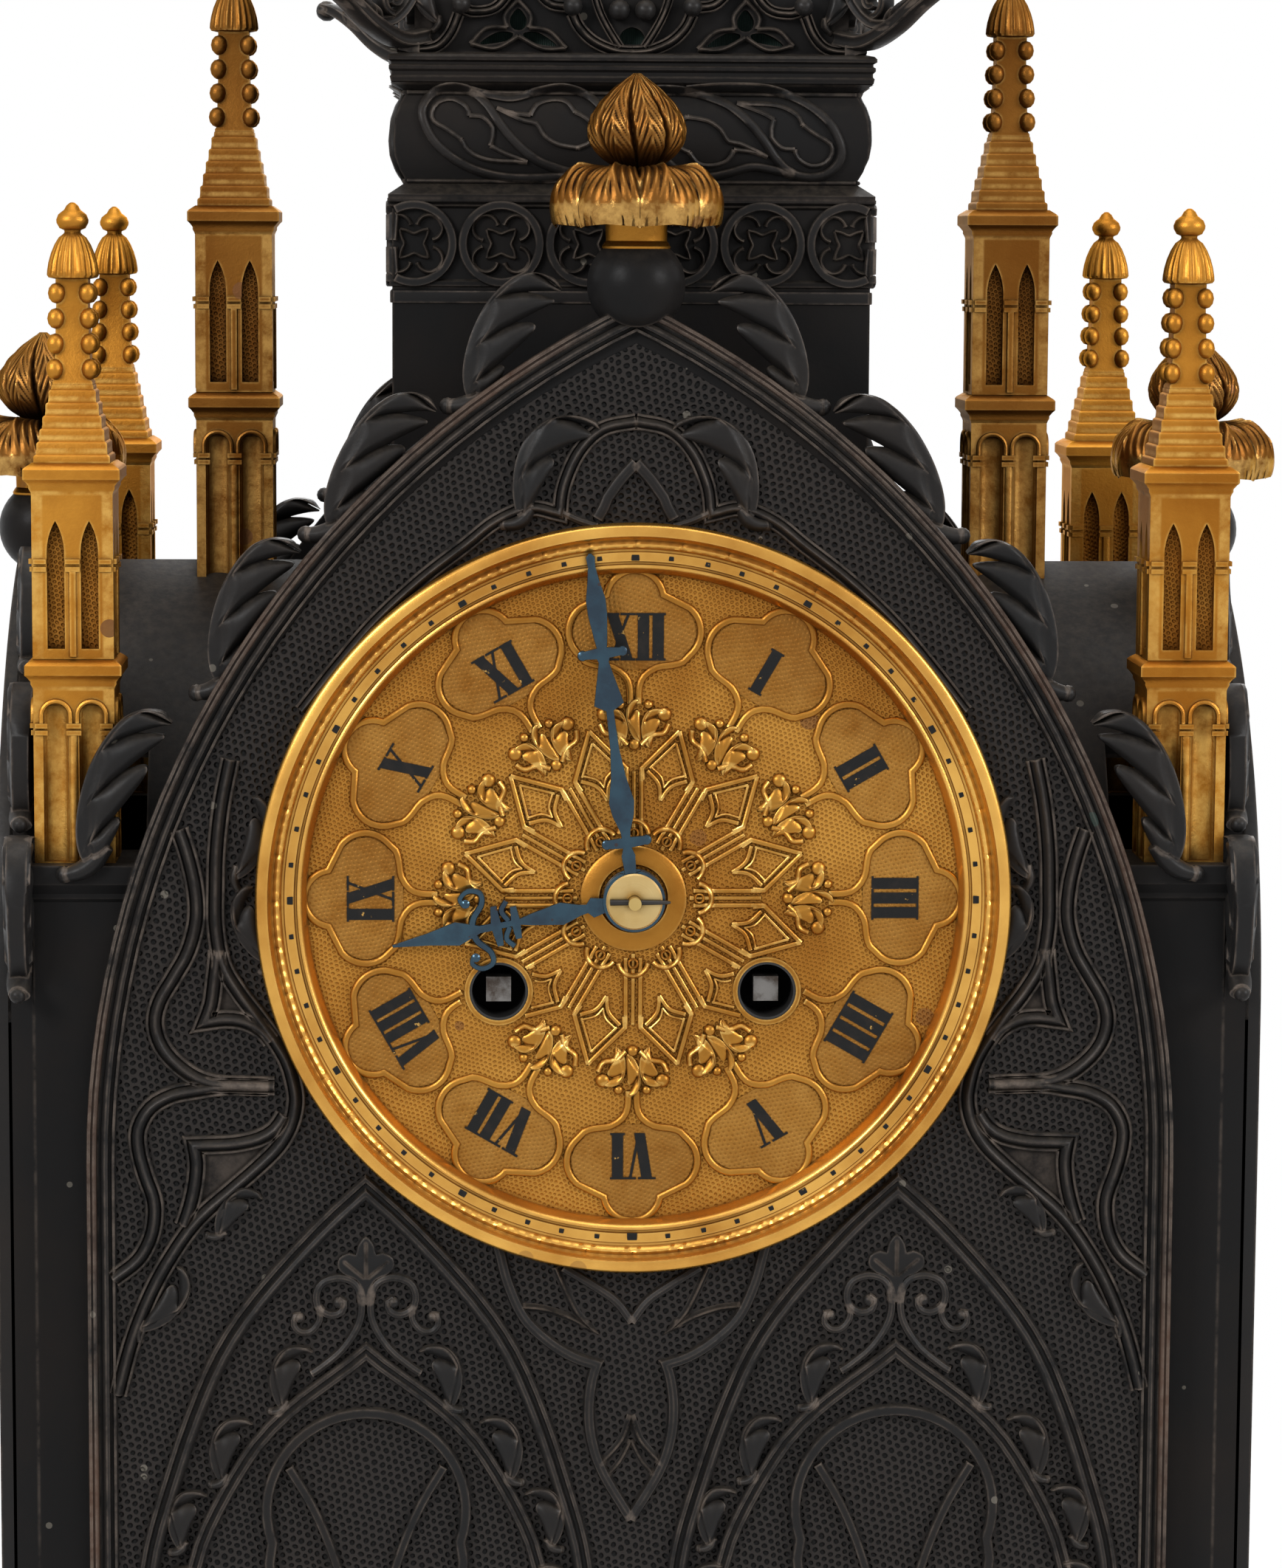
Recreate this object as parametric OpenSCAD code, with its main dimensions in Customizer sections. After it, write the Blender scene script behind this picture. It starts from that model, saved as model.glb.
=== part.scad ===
// Gothic revival mantel clock in the form of a cathedral: patinated bronze case,
// gilt dial and pinnacles, round eight-day movement with strike on a bell.
// The origin is on the table under the middle of the base, and the dial faces -Y.

/* [Base] */
// Width of the base
base_w = 235; // [215:1:260]
// Depth of the base
base_d = 135; // [130:1:150]
// Height of the base from the table to the deck
base_h = 45; // [40:1:52]
// Wall thickness of the base casting
base_wall = 4; // [3:0.5:6]
// Height of the bun feet
foot_h = 8; // [6:0.5:12]
// Radius of the bun feet
foot_r = 12; // [8:0.5:14]
// Thickness of the cover under the base
cover_t = 2; // [1.5:0.5:3]
// Shank radius of the cover screws
screw_r = 1.25; // [1:0.05:1.5]
// Length of the cover screws
screw_l = 12; // [8:1:16]

/* [Case] */
// Height of the dial centre above the table
dial_z = 210; // [206:1:216]
// Half width of the front gable
gable_hw = 85.3; // [84:0.1:88]
// Height where the front gable starts to curve in
gable_spring = 168; // [164:1:172]
// Rise of the front gable above its springing
gable_rise = 135; // [132:1:140]
// Thickness of the gable castings
gable_t = 4; // [3:0.5:5]
// Width of the moulding around the gables
band_w = 6.5; // [5:0.5:8]
// Height of that moulding above the gable
band_h = 2; // [1:0.25:3]
// Side of the square corner piers
pier_w = 15; // [14.8:0.1:16]
// Distance of the pier axis from the middle, sideways
pier_x = 86.2; // [86:0.1:88]
// Distance of the pier axis from the middle, front to back
pier_y = 45; // [44:0.5:48]
// Height of the top of the pier capitals
pier_top = 215; // [212:1:218]
// Height of the pier capitals
capital_h = 7; // [5:0.5:9]
// Projection of the pier capitals
capital_out = 2; // [1:0.2:2.4]
// Height where the side gables start to curve in
side_spring = 190; // [186:1:194]
// Rise of the side gables above their springing
side_rise = 72; // [68:1:76]
// How far the roofs lie inside the gable outlines
roof_in = 3; // [2:0.5:4]
// Thickness of the roof sheet
roof_t = 2; // [1.5:0.25:3]
// Half width of the two blind windows under the dial
lancet_hw = 35.5; // [30:0.5:36]
// Rise of their pointed heads
lancet_rise = 62; // [56:1:64]
// Distance of a window axis from the middle
lancet_x = 41.8; // [41:0.1:43]
// Height of the tips of the windows
lancet_tip = 168; // [160:1:169]

/* [Tower] */
// Side of the square tower
tower_w = 75.4; // [72:0.2:78]
// Wall thickness of the tower
tower_wall = 2.5; // [2:0.25:4]
// Height where the tower leaves the roof inside the case
tower_z = 268; // [266:1:270]
// Height where the quatrefoil frieze starts
frieze_z = 304.7; // [300:0.1:312]
// Height of the quatrefoil frieze
frieze_h = 13.8; // [12:0.1:16]
// Height of the scroll band above the frieze
scroll_h = 18; // [15:0.1:20]
// Height of the cornice above the scroll band
cornice_h = 4.2; // [3.6:0.1:5]
// Projection of the tower mouldings
tower_out = 1.6; // [1:0.1:3]
// Height of the pierced crown
crown_h = 33; // [28:1:36]
// How far the crown stands in from the tower face
crown_in = 3.5; // [3:0.5:6]
// Height of the lantern above the crown
lantern_h = 44; // [36:1:52]
// Radius of the lantern across its corners
lantern_r = 27; // [24:0.5:29]
// Height of the spire above the lantern
spire_h = 128; // [110:1:140]
// Radius of the spire at its tip
spire_tip_r = 2.4; // [2:0.1:3]

/* [Ornament] */
// Side of a pinnacle stage
pin_w = 12.6; // [11.6:0.1:13]
// Projection of the pinnacle cornices
pin_out = 1.2; // [0.8:0.1:1.3]
// Height of the lower pinnacle stage
pin_low = 27.6; // [24:0.1:30]
// Height of a pinnacle cornice
pin_cornice = 4.4; // [3.5:0.1:5]
// Height of the upper pinnacle stage
pin_up = 26; // [22:0.1:30]
// Height of the stepped pyramid
pin_step = 12; // [10:0.5:14]
// Height of the beaded neck
pin_neck = 16.4; // [14:0.1:20]
// Height of the domed cap with its knob
pin_cap = 11.7; // [10:0.1:14]
// Distance of the corner pinnacles from the middle, sideways
pin_x = 87.1; // [86:0.1:87.6]
// Distance of the ridge pinnacles from the middle
ridge_x = 64; // [60:0.5:66]
// Radius of the black balls on the gables
ball_r = 7.6; // [6:0.1:8]
// Height of the gilt buds on the balls
bud_h = 27; // [24:0.5:30]
// Radius of the leaf skirt of a bud
bud_r = 13; // [11:0.5:14]

/* [Dial] */
// Radius of the bezel
bezel_r = 58; // [57:0.1:60]
// Height of the bezel in front of the gable
bezel_h = 4; // [3:0.25:5]
// Radius of the dial opening in the case
opening_r = 54.6; // [54.2:0.1:55.2]
// Wall of the bezel sleeve
sleeve_t = 2.4; // [2:0.1:3]
// Radius of the opening in the bezel lip
lip_r = 50.5; // [49.5:0.1:51.2]
// Outer radius of the sunk minute track
track_r = 55.4; // [54.8:0.1:55.8]
// Depth of the minute track below the rim of the bezel
track_deep = 2.9; // [2.6:0.1:3.2]
// Thickness of the dial plate
dial_t = 1.5; // [1:0.1:2]
// Sideways distance of the winding holes from the dial centre
wind_x = 21; // [20.4:0.1:21.6]
// Distance of the winding holes below the dial centre
wind_z = 14.7; // [14:0.1:15.5]
// Radius of the winding holes
wind_hole_r = 4.6; // [4.2:0.1:5]
// Side of the winding squares
wind_square = 3.9; // [3.4:0.1:4]
// Thickness of the hands
hand_t = 0.8; // [0.6:0.1:1]
// Clock angle of the minute hand at rest
minute_angle = -7.5; // [-180:0.5:180]
// Clock angle of the hour hand at rest
hour_angle = 259; // [0:1:360]

/* [Movement] */
// Radius of the movement plates
plate_r = 47; // [46.8:0.1:48]
// Thickness of the movement plates
plate_t = 2; // [1.8:0.1:2.4]
// Radius of the plate pillars
pillar_r = 2.5; // [2:0.1:2.8]
// Distance of the pillars from the dial centre
pillar_at = 43.5; // [43:0.1:44]
// Radius of the pivots
pivot_r = 0.5; // [0.4:0.05:0.6]
// Radial clearance of pivots and running bores
run = 0.05; // [0.02:0.01:0.08]
// Radius of the arbors
arbor_r = 1; // [0.8:0.05:1.1]
// Radius of the barrel drums
drum_r = 16.8; // [15.5:0.1:17]
// Length of the barrel drums
drum_h = 14; // [12:0.5:14.5]
// Wall of the barrel drums
drum_wall = 1; // [0.8:0.1:1.5]
// Radius of the winding arbors
wind_r = 2.6; // [2.4:0.1:2.8]
// Radius of the bell at its rim
bell_r = 35; // [32:0.5:35.5]
// Depth of the bell
bell_h = 20; // [18:0.5:22]
// Wall of the bell
bell_t = 1.5; // [1.2:0.1:2]
// Length of the pendulum from its pivot to the middle of the bob
pendulum_l = 132; // [125:1:136]
// Radius of the pendulum bob
bob_r = 19; // [15:0.5:20]
// Thickness of the pendulum bob
bob_t = 8; // [6:0.5:9]
// Radius of the pendulum rod
rod_r = 0.8; // [0.6:0.1:0.9]

/* [Rear door] */
// Radius of the rear door
door_r = 54; // [53.4:0.1:54.6]
// Thickness of the rear door
door_t = 1.5; // [1:0.1:2]
// Radius of the hinge knuckles
knuckle_r = 1.9; // [1.7:0.1:2]
// Radius of the hinge pin
hinge_r = 0.8; // [0.7:0.05:0.9]

/* [Hidden] */
$fn = 96;
eps = 0.01;

// Finishes
bronze = "#26221f";
gilt = "#b8842f";
brass = "#b59a52";
steel = "#8d8f94";
blued = "#2d4256";

// Case planes: the piers carry the gables on their faces
gable_y = pier_y + pier_w / 2;
face_y = gable_y + gable_t;
side_x = pier_x + pier_w / 2;
side_hw = gable_y;
gable_top = gable_spring + gable_rise;
side_top = side_spring + side_rise;
ridge_z = side_top - roof_in;
slit = 0.2;

// Tower levels
tower_hw = tower_w / 2;
scroll_z = frieze_z + frieze_h;
cornice_z = scroll_z + scroll_h;
crown_z = cornice_z + cornice_h;
crown_hw = tower_hw - crown_in;
lantern_z = crown_z + crown_h;
spire_z = lantern_z + lantern_h;
finial_z = spire_z + spire_h;

// Dial planes, front to back
bezel_y = -face_y - bezel_h;
dial_y = bezel_y + 5;
dial_back = dial_y + dial_t;
dial_seat_r = opening_r - slit - sleeve_t;
sleeve_back = -face_y + 10.5;

// Movement planes, front to back
front_y = sleeve_back + 1;
front_in = front_y + plate_t;
back_in = -15;
back_y = back_in + plate_t;
drum_back = back_in - 7;
drum_front = drum_back - drum_h;

// Teeth and modules of the trains
barrel_n = 60;
barrel_m = 0.6;
second_n = 60;
second_m = 0.5;
centre_n = 84;
centre_m = 0.3;
third_n = 80;
third_m = 0.27;
pinion_n = 10;
fine_n = 7;
escape_n = 36;
escape_r = 8;
strike_n = 54;
strike_m = 0.45;
pin_pinion_n = 6;
pinwheel_n = 60;
pinwheel_m = 0.3;
warn_pinion_n = 8;
warn_n = 50;
warn_m = 0.24;
cannon_n = 12;
motion_n = 36;
motion_m = 0.4;
hour_pinion_n = 10;
hour_n = 40;
hour_m = motion_m * (cannon_n + motion_n) / (hour_pinion_n + hour_n);

// Places of the arbors in the plane of the dial, from the dial centre
function reach(n1, n2, m) = m * (n1 + n2) / 2;
function polar(r, a) = [r * cos(a), r * sin(a)];
function bearing(p, q) = atan2(q[1] - p[1], q[0] - p[0]);
// The point at dp from p and dq from q, to the left of the line from p to q
function meet(p, q, dp, dq) =
    let (d = norm(q - p), a = (dp * dp - dq * dq + d * d) / (2 * d))
    p + polar(dp, bearing(p, q) + acos(a / dp));
centre_p = [0, 0];
going_p = [wind_x, -wind_z];
strike_p = [-wind_x, -wind_z];
second_p = meet(centre_p, going_p, reach(second_n, pinion_n, second_m),
    reach(barrel_n, pinion_n, barrel_m));
escape_p = [0, 22];
third_p = meet(centre_p, escape_p, reach(centre_n, fine_n, centre_m),
    reach(third_n, fine_n, third_m));
anchor_p = escape_p + [0, 11];
pendulum_p = anchor_p + [0, 7];
strike2_p = strike_p + polar(reach(barrel_n, pinion_n, barrel_m), 106);
pin_p = strike2_p + polar(reach(strike_n, pin_pinion_n, strike_m), 59.5);
warn_p = pin_p + polar(reach(pinwheel_n, warn_pinion_n, pinwheel_m), 57.5);
fly_p = warn_p + polar(reach(warn_n, fine_n, warn_m), 54);
hammer_p = [-38, 22];
motion_p = [0, -reach(cannon_n, motion_n, motion_m)];
pillar_angles = [20, 68, 112, 160, 270];
dial_foot_angles = [90, 210, 330];
dial_foot_r = 1.2;
dial_foot_at = 38;

// Layers of the wheels, given as their front face
second_y = front_in + 4.5;
centre_y = back_in - 3.2;
third_y = front_in + 11;
escape_y = back_in - 12.4;
strike_y = front_in + 1.8;
pin_y = back_in - 9;
warn_y = front_in + 7.2;
wheel_t = 1.2;
barrel_t = 2;
motion_y = front_y - 3.8;
hour_y = motion_y - 3.2;
pinion_extra = 0.6;

// Planes behind the back plate
rod_y = back_y + 7;
bell_y = back_y + 17;
crutch_y = back_y + 2;
hammer_y = bell_y + 2.2;
crutch_l = 22;
swing_clear = 0.35;

// Hands, front to back on the centre arbor
hour_hand_y = dial_y - 2;
minute_hand_y = hour_hand_y - 1.6;
washer_t = 0.8;
arbor_tip_y = minute_hand_y - washer_t - 2.4;
cannon_r = 1.6;
hour_pipe_r = 2.55;
hub_r = 4.9;

// Rear door and its hinge
hinge_x = -(bezel_r + knuckle_r + 0.6);
rear_face = face_y + bezel_h - 1;
door_y = rear_face + slit;
hinge_y = door_y + door_t / 2;
knuckle_h = 9.6;

// Puts children at a point of the dial plane
module at(p) {
    translate([p[0], 0, dial_z + p[1]]) children();
}

// A round bar along Y from y0 to y1
module bar_y(r, y0, y1) {
    translate([0, y1, 0]) rotate([90, 0, 0]) cylinder(r = r, h = y1 - y0);
}

// A drawing in X and Z, given thickness from y0 to y1
module slab_y(y0, y1) {
    translate([0, y1, 0]) rotate([90, 0, 0]) linear_extrude(y1 - y0) children();
}

// The outline of a pointed arch over straight legs, standing on the X axis
module arch(hw, rise, leg) {
    r = (hw * hw + rise * rise) / (2 * hw);
    translate([-hw, 0]) square([2 * hw, leg]);
    translate([0, leg]) intersection() {
        translate([r - hw, 0]) circle(r, $fn = 180);
        translate([hw - r, 0]) circle(r, $fn = 180);
        translate([-hw, -eps]) square([2 * hw, rise + 1]);
    }
}

// The strip along the inside of such an outline, from depth a to depth b
module arch_strip(hw, rise, leg, a, b) {
    difference() {
        arch(hw - a, rise - a, leg);
        translate([0, -1]) arch(hw - b, rise - b, leg + 1);
    }
}

// A moulded block: profile points are [projection, height], half sizes hx and hy
module moulded(profile, hx, hy) {
    top = len(profile) - 1;
    intersection() {
        rotate([90, 0, 0]) linear_extrude(4 * hy, center = true)
            polygon(concat([for (p = profile) [hx + p[0], p[1]]],
                [for (i = [top:-1:0]) [-hx - profile[i][0], profile[i][1]]]));
        rotate([90, 0, 90]) linear_extrude(4 * hx, center = true)
            polygon(concat([for (p = profile) [hy + p[0], p[1]]],
                [for (i = [top:-1:0]) [-hy - profile[i][0], profile[i][1]]]));
    }
}

// A square block from z0 to z1 with the half side hw
module post(hw, z0, z1) {
    translate([-hw, -hw, z0]) cube([2 * hw, 2 * hw, z1 - z0]);
}

// Repeats children on the four corners of a rectangle
module corners(x, y) {
    for (sx = [-1, 1])
        for (sy = [-1, 1])
            translate([sx * x, sy * y, 0]) children();
}

// Base: a hollow moulded plinth on four bun feet, closed below by a screwed cover
plinth_in = 12;
boss_r = 4;
boss_in = 12;
deck_t = 4;
module plinth_screws(r, z0, h) {
    corners(base_w / 2 - boss_in, base_d / 2 - boss_in)
        translate([0, 0, z0]) cylinder(r = r, h = h);
}
module base_plinth() {
    h = base_h - foot_h;
    profile = [[0, 0], [0, 5], [-2, 7], [-4, 7.5], [-4, 9], [-5.5, 10],
        [-5.5, h - 9], [-4, h - 8], [-4, h - 6.5], [-6, h - 6], [-9, h - 3],
        [-9, h - 1.5], [-plinth_in, h - 1], [-plinth_in, h]];
    color(bronze) difference() {
        union() {
            difference() {
                translate([0, 0, foot_h]) moulded(profile, base_w / 2, base_d / 2);
                translate([-base_w / 2 + plinth_in + base_wall,
                    -base_d / 2 + plinth_in + base_wall, foot_h - 1])
                    cube([base_w - 2 * (plinth_in + base_wall),
                        base_d - 2 * (plinth_in + base_wall), h - deck_t + 1]);
            }
            plinth_screws(boss_r, foot_h + 1, h - 6);
        }
        translate([-base_w / 2 + base_wall, -base_d / 2 + base_wall, foot_h - 1])
            cube([base_w - 2 * base_wall, base_d - 2 * base_wall, cover_t + 1]);
        plinth_screws(screw_r + run, foot_h, screw_l + 1);
    }
}
module base_cover() {
    color(brass) difference() {
        translate([-base_w / 2 + base_wall + slit, -base_d / 2 + base_wall + slit, foot_h])
            cube([base_w - 2 * (base_wall + slit), base_d - 2 * (base_wall + slit), cover_t]);
        plinth_screws(screw_r + run, foot_h - 1, cover_t + 2);
    }
}
module case_screws() {
    color(steel) difference() {
        union() {
            plinth_screws(screw_r, foot_h, screw_l);
            plinth_screws(2.4, foot_h - 1.2, 1.2);
        }
        corners(base_w / 2 - boss_in, base_d / 2 - boss_in)
            translate([-0.3, -3, foot_h - 1.3]) cube([0.6, 6, 0.7]);
    }
}
foot_in = foot_r + base_wall + 8;
module feet() {
    color(bronze) corners(base_w / 2 - foot_in, base_d / 2 - foot_in)
        rotate_extrude() {
            translate([0, 0]) square([foot_r * 0.72, foot_h]);
            intersection() {
                translate([foot_r - foot_h / 2, foot_h / 2]) circle(foot_h / 2);
                square([foot_r + 1, foot_h]);
            }
            square([foot_r - foot_h / 2, foot_h]);
        }
}

// Case walls
module gable_blank(hw, spring, rise, a) {
    translate([0, base_h]) arch(hw - a, rise - a, spring - base_h);
}
module front_outline(a) {
    gable_blank(gable_hw, gable_spring, gable_rise, a);
}
module side_outline(a) {
    gable_blank(side_hw, side_spring, side_rise, a);
}
// Three raised fillets along the edge of a gable, the outer one highest
module edge_mouldings(hw, spring, rise) {
    leg = spring - base_h;
    translate([0, base_h]) {
        linear_extrude(band_h) arch_strip(hw, rise, leg, 0, band_w * 0.3);
        linear_extrude(band_h * 0.6) arch_strip(hw, rise, leg, 0, band_w * 0.65);
        linear_extrude(band_h * 0.35) arch_strip(hw, rise, leg, 0, band_w);
    }
}
module face_up(y) {
    translate([0, y, 0]) rotate([90, 0, 0]) children();
}
module lancet_frames() {
    leg = lancet_tip - lancet_rise - base_h - 10;
    for (s = [-1, 1])
        translate([s * lancet_x, base_h + 10]) {
            linear_extrude(1.6) arch_strip(lancet_hw, lancet_rise, leg, 0, 1.6);
            linear_extrude(0.9) arch_strip(lancet_hw, lancet_rise, leg, 0, 3.4);
            linear_extrude(1) arch_strip(lancet_hw * 0.66, lancet_rise * 0.66,
                leg, 0, 1.6);
        }
}
module front_facade() {
    color(bronze) difference() {
        union() {
            slab_y(-face_y, -gable_y) front_outline(0);
            face_up(-face_y) edge_mouldings(gable_hw, gable_spring, gable_rise);
            face_up(-face_y) lancet_frames();
        }
        at(centre_p) bar_y(opening_r, -face_y - 5, 0);
        at(centre_p) bar_y(bezel_r + slit, -face_y - 5, -face_y);
    }
}
module back_facade() {
    color(bronze) difference() {
        union() {
            slab_y(gable_y, face_y) front_outline(0);
            mirror([0, 1, 0]) face_up(-face_y)
                edge_mouldings(gable_hw, gable_spring, gable_rise);
        }
        at(centre_p) bar_y(opening_r, 0, face_y + 5);
        at(centre_p) bar_y(bezel_r + slit, face_y, face_y + 5);
    }
}
module side_gables() {
    color(bronze) for (s = [-1, 1])
        rotate([0, 0, 90 * s]) {
            slab_y(-side_x - gable_t, -side_x) side_outline(0);
            face_up(-side_x - gable_t) edge_mouldings(side_hw, side_spring, side_rise);
            face_up(-side_x - gable_t) translate([0, base_h + 10])
                linear_extrude(1.4) arch_strip(side_hw * 0.6, side_rise * 0.7,
                    side_spring - base_h - 20, 0, 2);
        }
}
module corner_piers() {
    cap = [[0, 0], [0, 1], [0.6, 1.6], [0.6, 2.4], [capital_out, 4],
        [capital_out, capital_h]];
    foot = [[capital_out, 0], [capital_out, 6], [0, 9], [0, 9.5]];
    color(bronze) difference() {
        corners(pier_x, pier_y) {
            translate([-pier_w / 2, -pier_w / 2, base_h])
                cube([pier_w, pier_w, pier_top - base_h]);
            translate([0, 0, pier_top - capital_h]) moulded(cap, pier_w / 2, pier_w / 2);
            translate([0, 0, base_h]) moulded(foot, pier_w / 2, pier_w / 2);
        }
        for (s = [-1, 1])
            scale([1, s, 1]) slab_y(-face_y - 10, -gable_y) front_outline(0);
        for (s = [-1, 1])
            rotate([0, 0, 90 * s]) slab_y(-side_x - 10, -side_x) side_outline(0);
    }
}

// Roofs: two crossing vaults, cut out for the tower and for the piers
module nave_solid(a) {
    slab_y(-gable_y, gable_y) difference() {
        front_outline(roof_in + a);
        translate([-gable_hw, 0]) square([2 * gable_hw, gable_spring]);
    }
}
module side_solid(a) {
    rotate([0, 0, 90]) slab_y(-side_x, side_x) difference() {
        side_outline(roof_in + a);
        translate([-side_hw, 0]) square([2 * side_hw, side_spring]);
    }
}
module roof_cuts() {
    translate([-tower_hw, -tower_hw, tower_z - 20]) cube([tower_w, tower_w, 80]);
    corners(pier_x, pier_y) {
        post(pier_w / 2 + slit, base_h, gable_top);
        post(pier_w / 2 + capital_out + slit, pier_top - capital_h, gable_top);
    }
}
module nave_roof() {
    color(bronze) difference() {
        nave_solid(0);
        nave_solid(roof_t);
        side_solid(roof_t);
        roof_cuts();
        translate([-side_x, -side_x, base_h]) cube([2 * side_x, 2 * side_x,
            side_spring - base_h]);
    }
}
module side_roofs() {
    color(bronze) difference() {
        side_solid(0);
        side_solid(roof_t);
        nave_solid(0);
        roof_cuts();
        corners(pier_x, pier_y) post(pier_w / 2 + capital_out + slit, base_h, gable_top);
    }
}

// Tower
module square_tube(hw, wall, z0, h) {
    difference() {
        translate([-hw, -hw, z0]) cube([2 * hw, 2 * hw, h]);
        translate([-hw + wall, -hw + wall, z0 - 1])
            cube([2 * (hw - wall), 2 * (hw - wall), h + 2]);
    }
}
module tower_shaft() {
    color(bronze) square_tube(tower_hw, tower_wall, tower_z, frieze_z - tower_z);
}
module four_faces() {
    for (a = [0:90:270])
        rotate([0, 0, a]) children();
}
quatrefoils = 6;
module tower_frieze() {
    pitch = tower_w / quatrefoils;
    relief = 0.8;
    color(bronze) {
        difference() {
            translate([0, 0, frieze_z]) moulded([[0, 0], [0.6, 0], [0.6, 1], [0, 1.4],
                [0, frieze_h - 1.6], [0.7, frieze_h - 1], [0.7, frieze_h]],
                tower_hw, tower_hw);
            translate([0, 0, frieze_z - 1]) linear_extrude(frieze_h + 2)
                square(tower_w - 2 * tower_wall, center = true);
        }
        four_faces() for (i = [0:quatrefoils - 1])
            translate([(i - (quatrefoils - 1) / 2) * pitch, -tower_hw,
                frieze_z + frieze_h / 2]) bar_ring(pitch * 0.44, 1, -relief, 0);
    }
}
module bar_ring(r, w, y0, y1) {
    difference() {
        bar_y(r, y0, y1);
        bar_y(r - w, y0 - 1, y1 + 1);
    }
}
module scroll_band() {
    h = scroll_h;
    o = tower_out;
    color(bronze) difference() {
        translate([0, 0, scroll_z]) moulded([[o * 0.4, 0], [o * 0.4, 0.6], [-2, 2.4],
            [-2, 3], [-1.2, 4.4], [-0.4, 6.6], [-0.2, h / 2], [-0.5, h - 5.6],
            [-1.2, h - 3.4], [-2, h - 2], [-2, h - 1.2], [0.2, h]], tower_hw, tower_hw);
        translate([0, 0, scroll_z - 1]) linear_extrude(h + 2)
            square(tower_w - 2 * tower_wall - 5, center = true);
    }
}
module crown_arches(grow) {
    pitch = crown_hw;
    for (s = [-1, 1])
        translate([s * pitch / 2, 0]) arch(pitch * 0.3 + grow, pitch * 0.42 + grow,
            crown_h * 0.36);
}
module crown_gallery() {
    o = tower_out;
    step = tower_hw - crown_hw;
    color(bronze) difference() {
        union() {
            translate([0, 0, cornice_z]) moulded([[0, 0], [o * 0.2, 0.4], [o * 0.2, 1.4],
                [0, 1.8], [0, 2.4], [o * 0.6, 3], [o * 0.6, cornice_h]],
                tower_hw, tower_hw);
            translate([-crown_hw, -crown_hw, crown_z])
                cube([2 * crown_hw, 2 * crown_hw, crown_h]);
            translate([0, 0, lantern_z - 4]) moulded([[0, 0], [step * 0.4, 2],
                [step * 0.4, 4]], crown_hw, crown_hw);
        }
        translate([0, 0, cornice_z - 1]) linear_extrude(crown_h + cornice_h - 1)
            square(2 * (crown_hw - tower_wall), center = true);
        four_faces() translate([0, 0, crown_z + 5]) slab_y(-crown_hw - 1, 0)
            crown_arches(0);
        translate([0, 0, lantern_z - 3]) cylinder(r = lantern_r - 5, h = 4);
    }
}
// Dark cloth behind the openings, a thin square sleeve
cloth_t = 0.6;
module crown_cloth() {
    hw = crown_hw - tower_wall - slit;
    color("#1f2b26") square_tube(hw, cloth_t, crown_z, crown_h - 4);
}
// Scroll brackets on the four corners of the crown
bracket_t = 4;
module crown_brackets() {
    r0 = crown_hw * sqrt(2) - 2;
    color(bronze) difference() {
        for (a = [45:90:315])
            rotate([0, 0, a]) translate([0, bracket_t / 2, crown_z]) rotate([90, 0, 0])
                linear_extrude(bracket_t) difference() {
                    union() {
                        polygon([[r0, 0], [r0 + 8, 0], [r0 + 14, 2.2], [r0 + 20, 6],
                            [r0 + 25, 7.6], [r0 + 25, 11], [r0 + 19, 10.6], [r0 + 13, 8],
                            [r0 + 6, 9.5], [r0 + 4, 16], [r0 + 2.4, 19], [r0, 19]]);
                        translate([r0 + 24.4, 9.6]) circle(2.6);
                    }
                    translate([r0 + 8, 4.6]) circle(1.8);
                }
        post(crown_hw, crown_z - 1, lantern_z);
    }
}
module spire() {
    color(bronze) difference() {
        union() {
            translate([0, 0, lantern_z]) rotate([0, 0, 22.5])
                cylinder(r = lantern_r, h = lantern_h, $fn = 8);
            translate([0, 0, spire_z]) rotate([0, 0, 22.5])
                cylinder(r = lantern_r + 2, h = 4, $fn = 8);
            translate([0, 0, spire_z + 4]) rotate([0, 0, 22.5])
                cylinder(r1 = lantern_r - 3, r2 = spire_tip_r, h = spire_h - 4, $fn = 8);
        }
        translate([0, 0, lantern_z - 1]) cylinder(r = lantern_r - 5, h = lantern_h + 1);
        for (a = [0:45:135])
            rotate([0, 0, a]) translate([0, 0, lantern_z + 6]) slab_y(-60, 60)
                arch(5, 9, lantern_h * 0.42);
    }
}
// A gilt bud on a leaf skirt, standing on its collar
module bud(h, r) {
    cylinder(r = r * 0.35, h = h * 0.48);
    translate([0, 0, h * 0.2]) rotate_extrude() intersection() {
        difference() {
            scale([1, 0.62]) circle(r);
            scale([1, 0.62]) circle(r - 1.6);
        }
        square([r, r]);
    }
    translate([0, 0, h * 0.36]) cylinder(r = r * 0.3, h = h * 0.14);
    translate([0, 0, h * 0.44]) rotate_extrude() intersection() {
        rr = h * 0.5;
        translate([r * 0.55 - rr, h * 0.22]) circle(rr);
        square([r, h * 0.56]);
    }
}
module spire_finial() {
    color(gilt) translate([0, 0, finial_z]) bud(bud_h, bud_r * 0.8);
}

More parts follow.
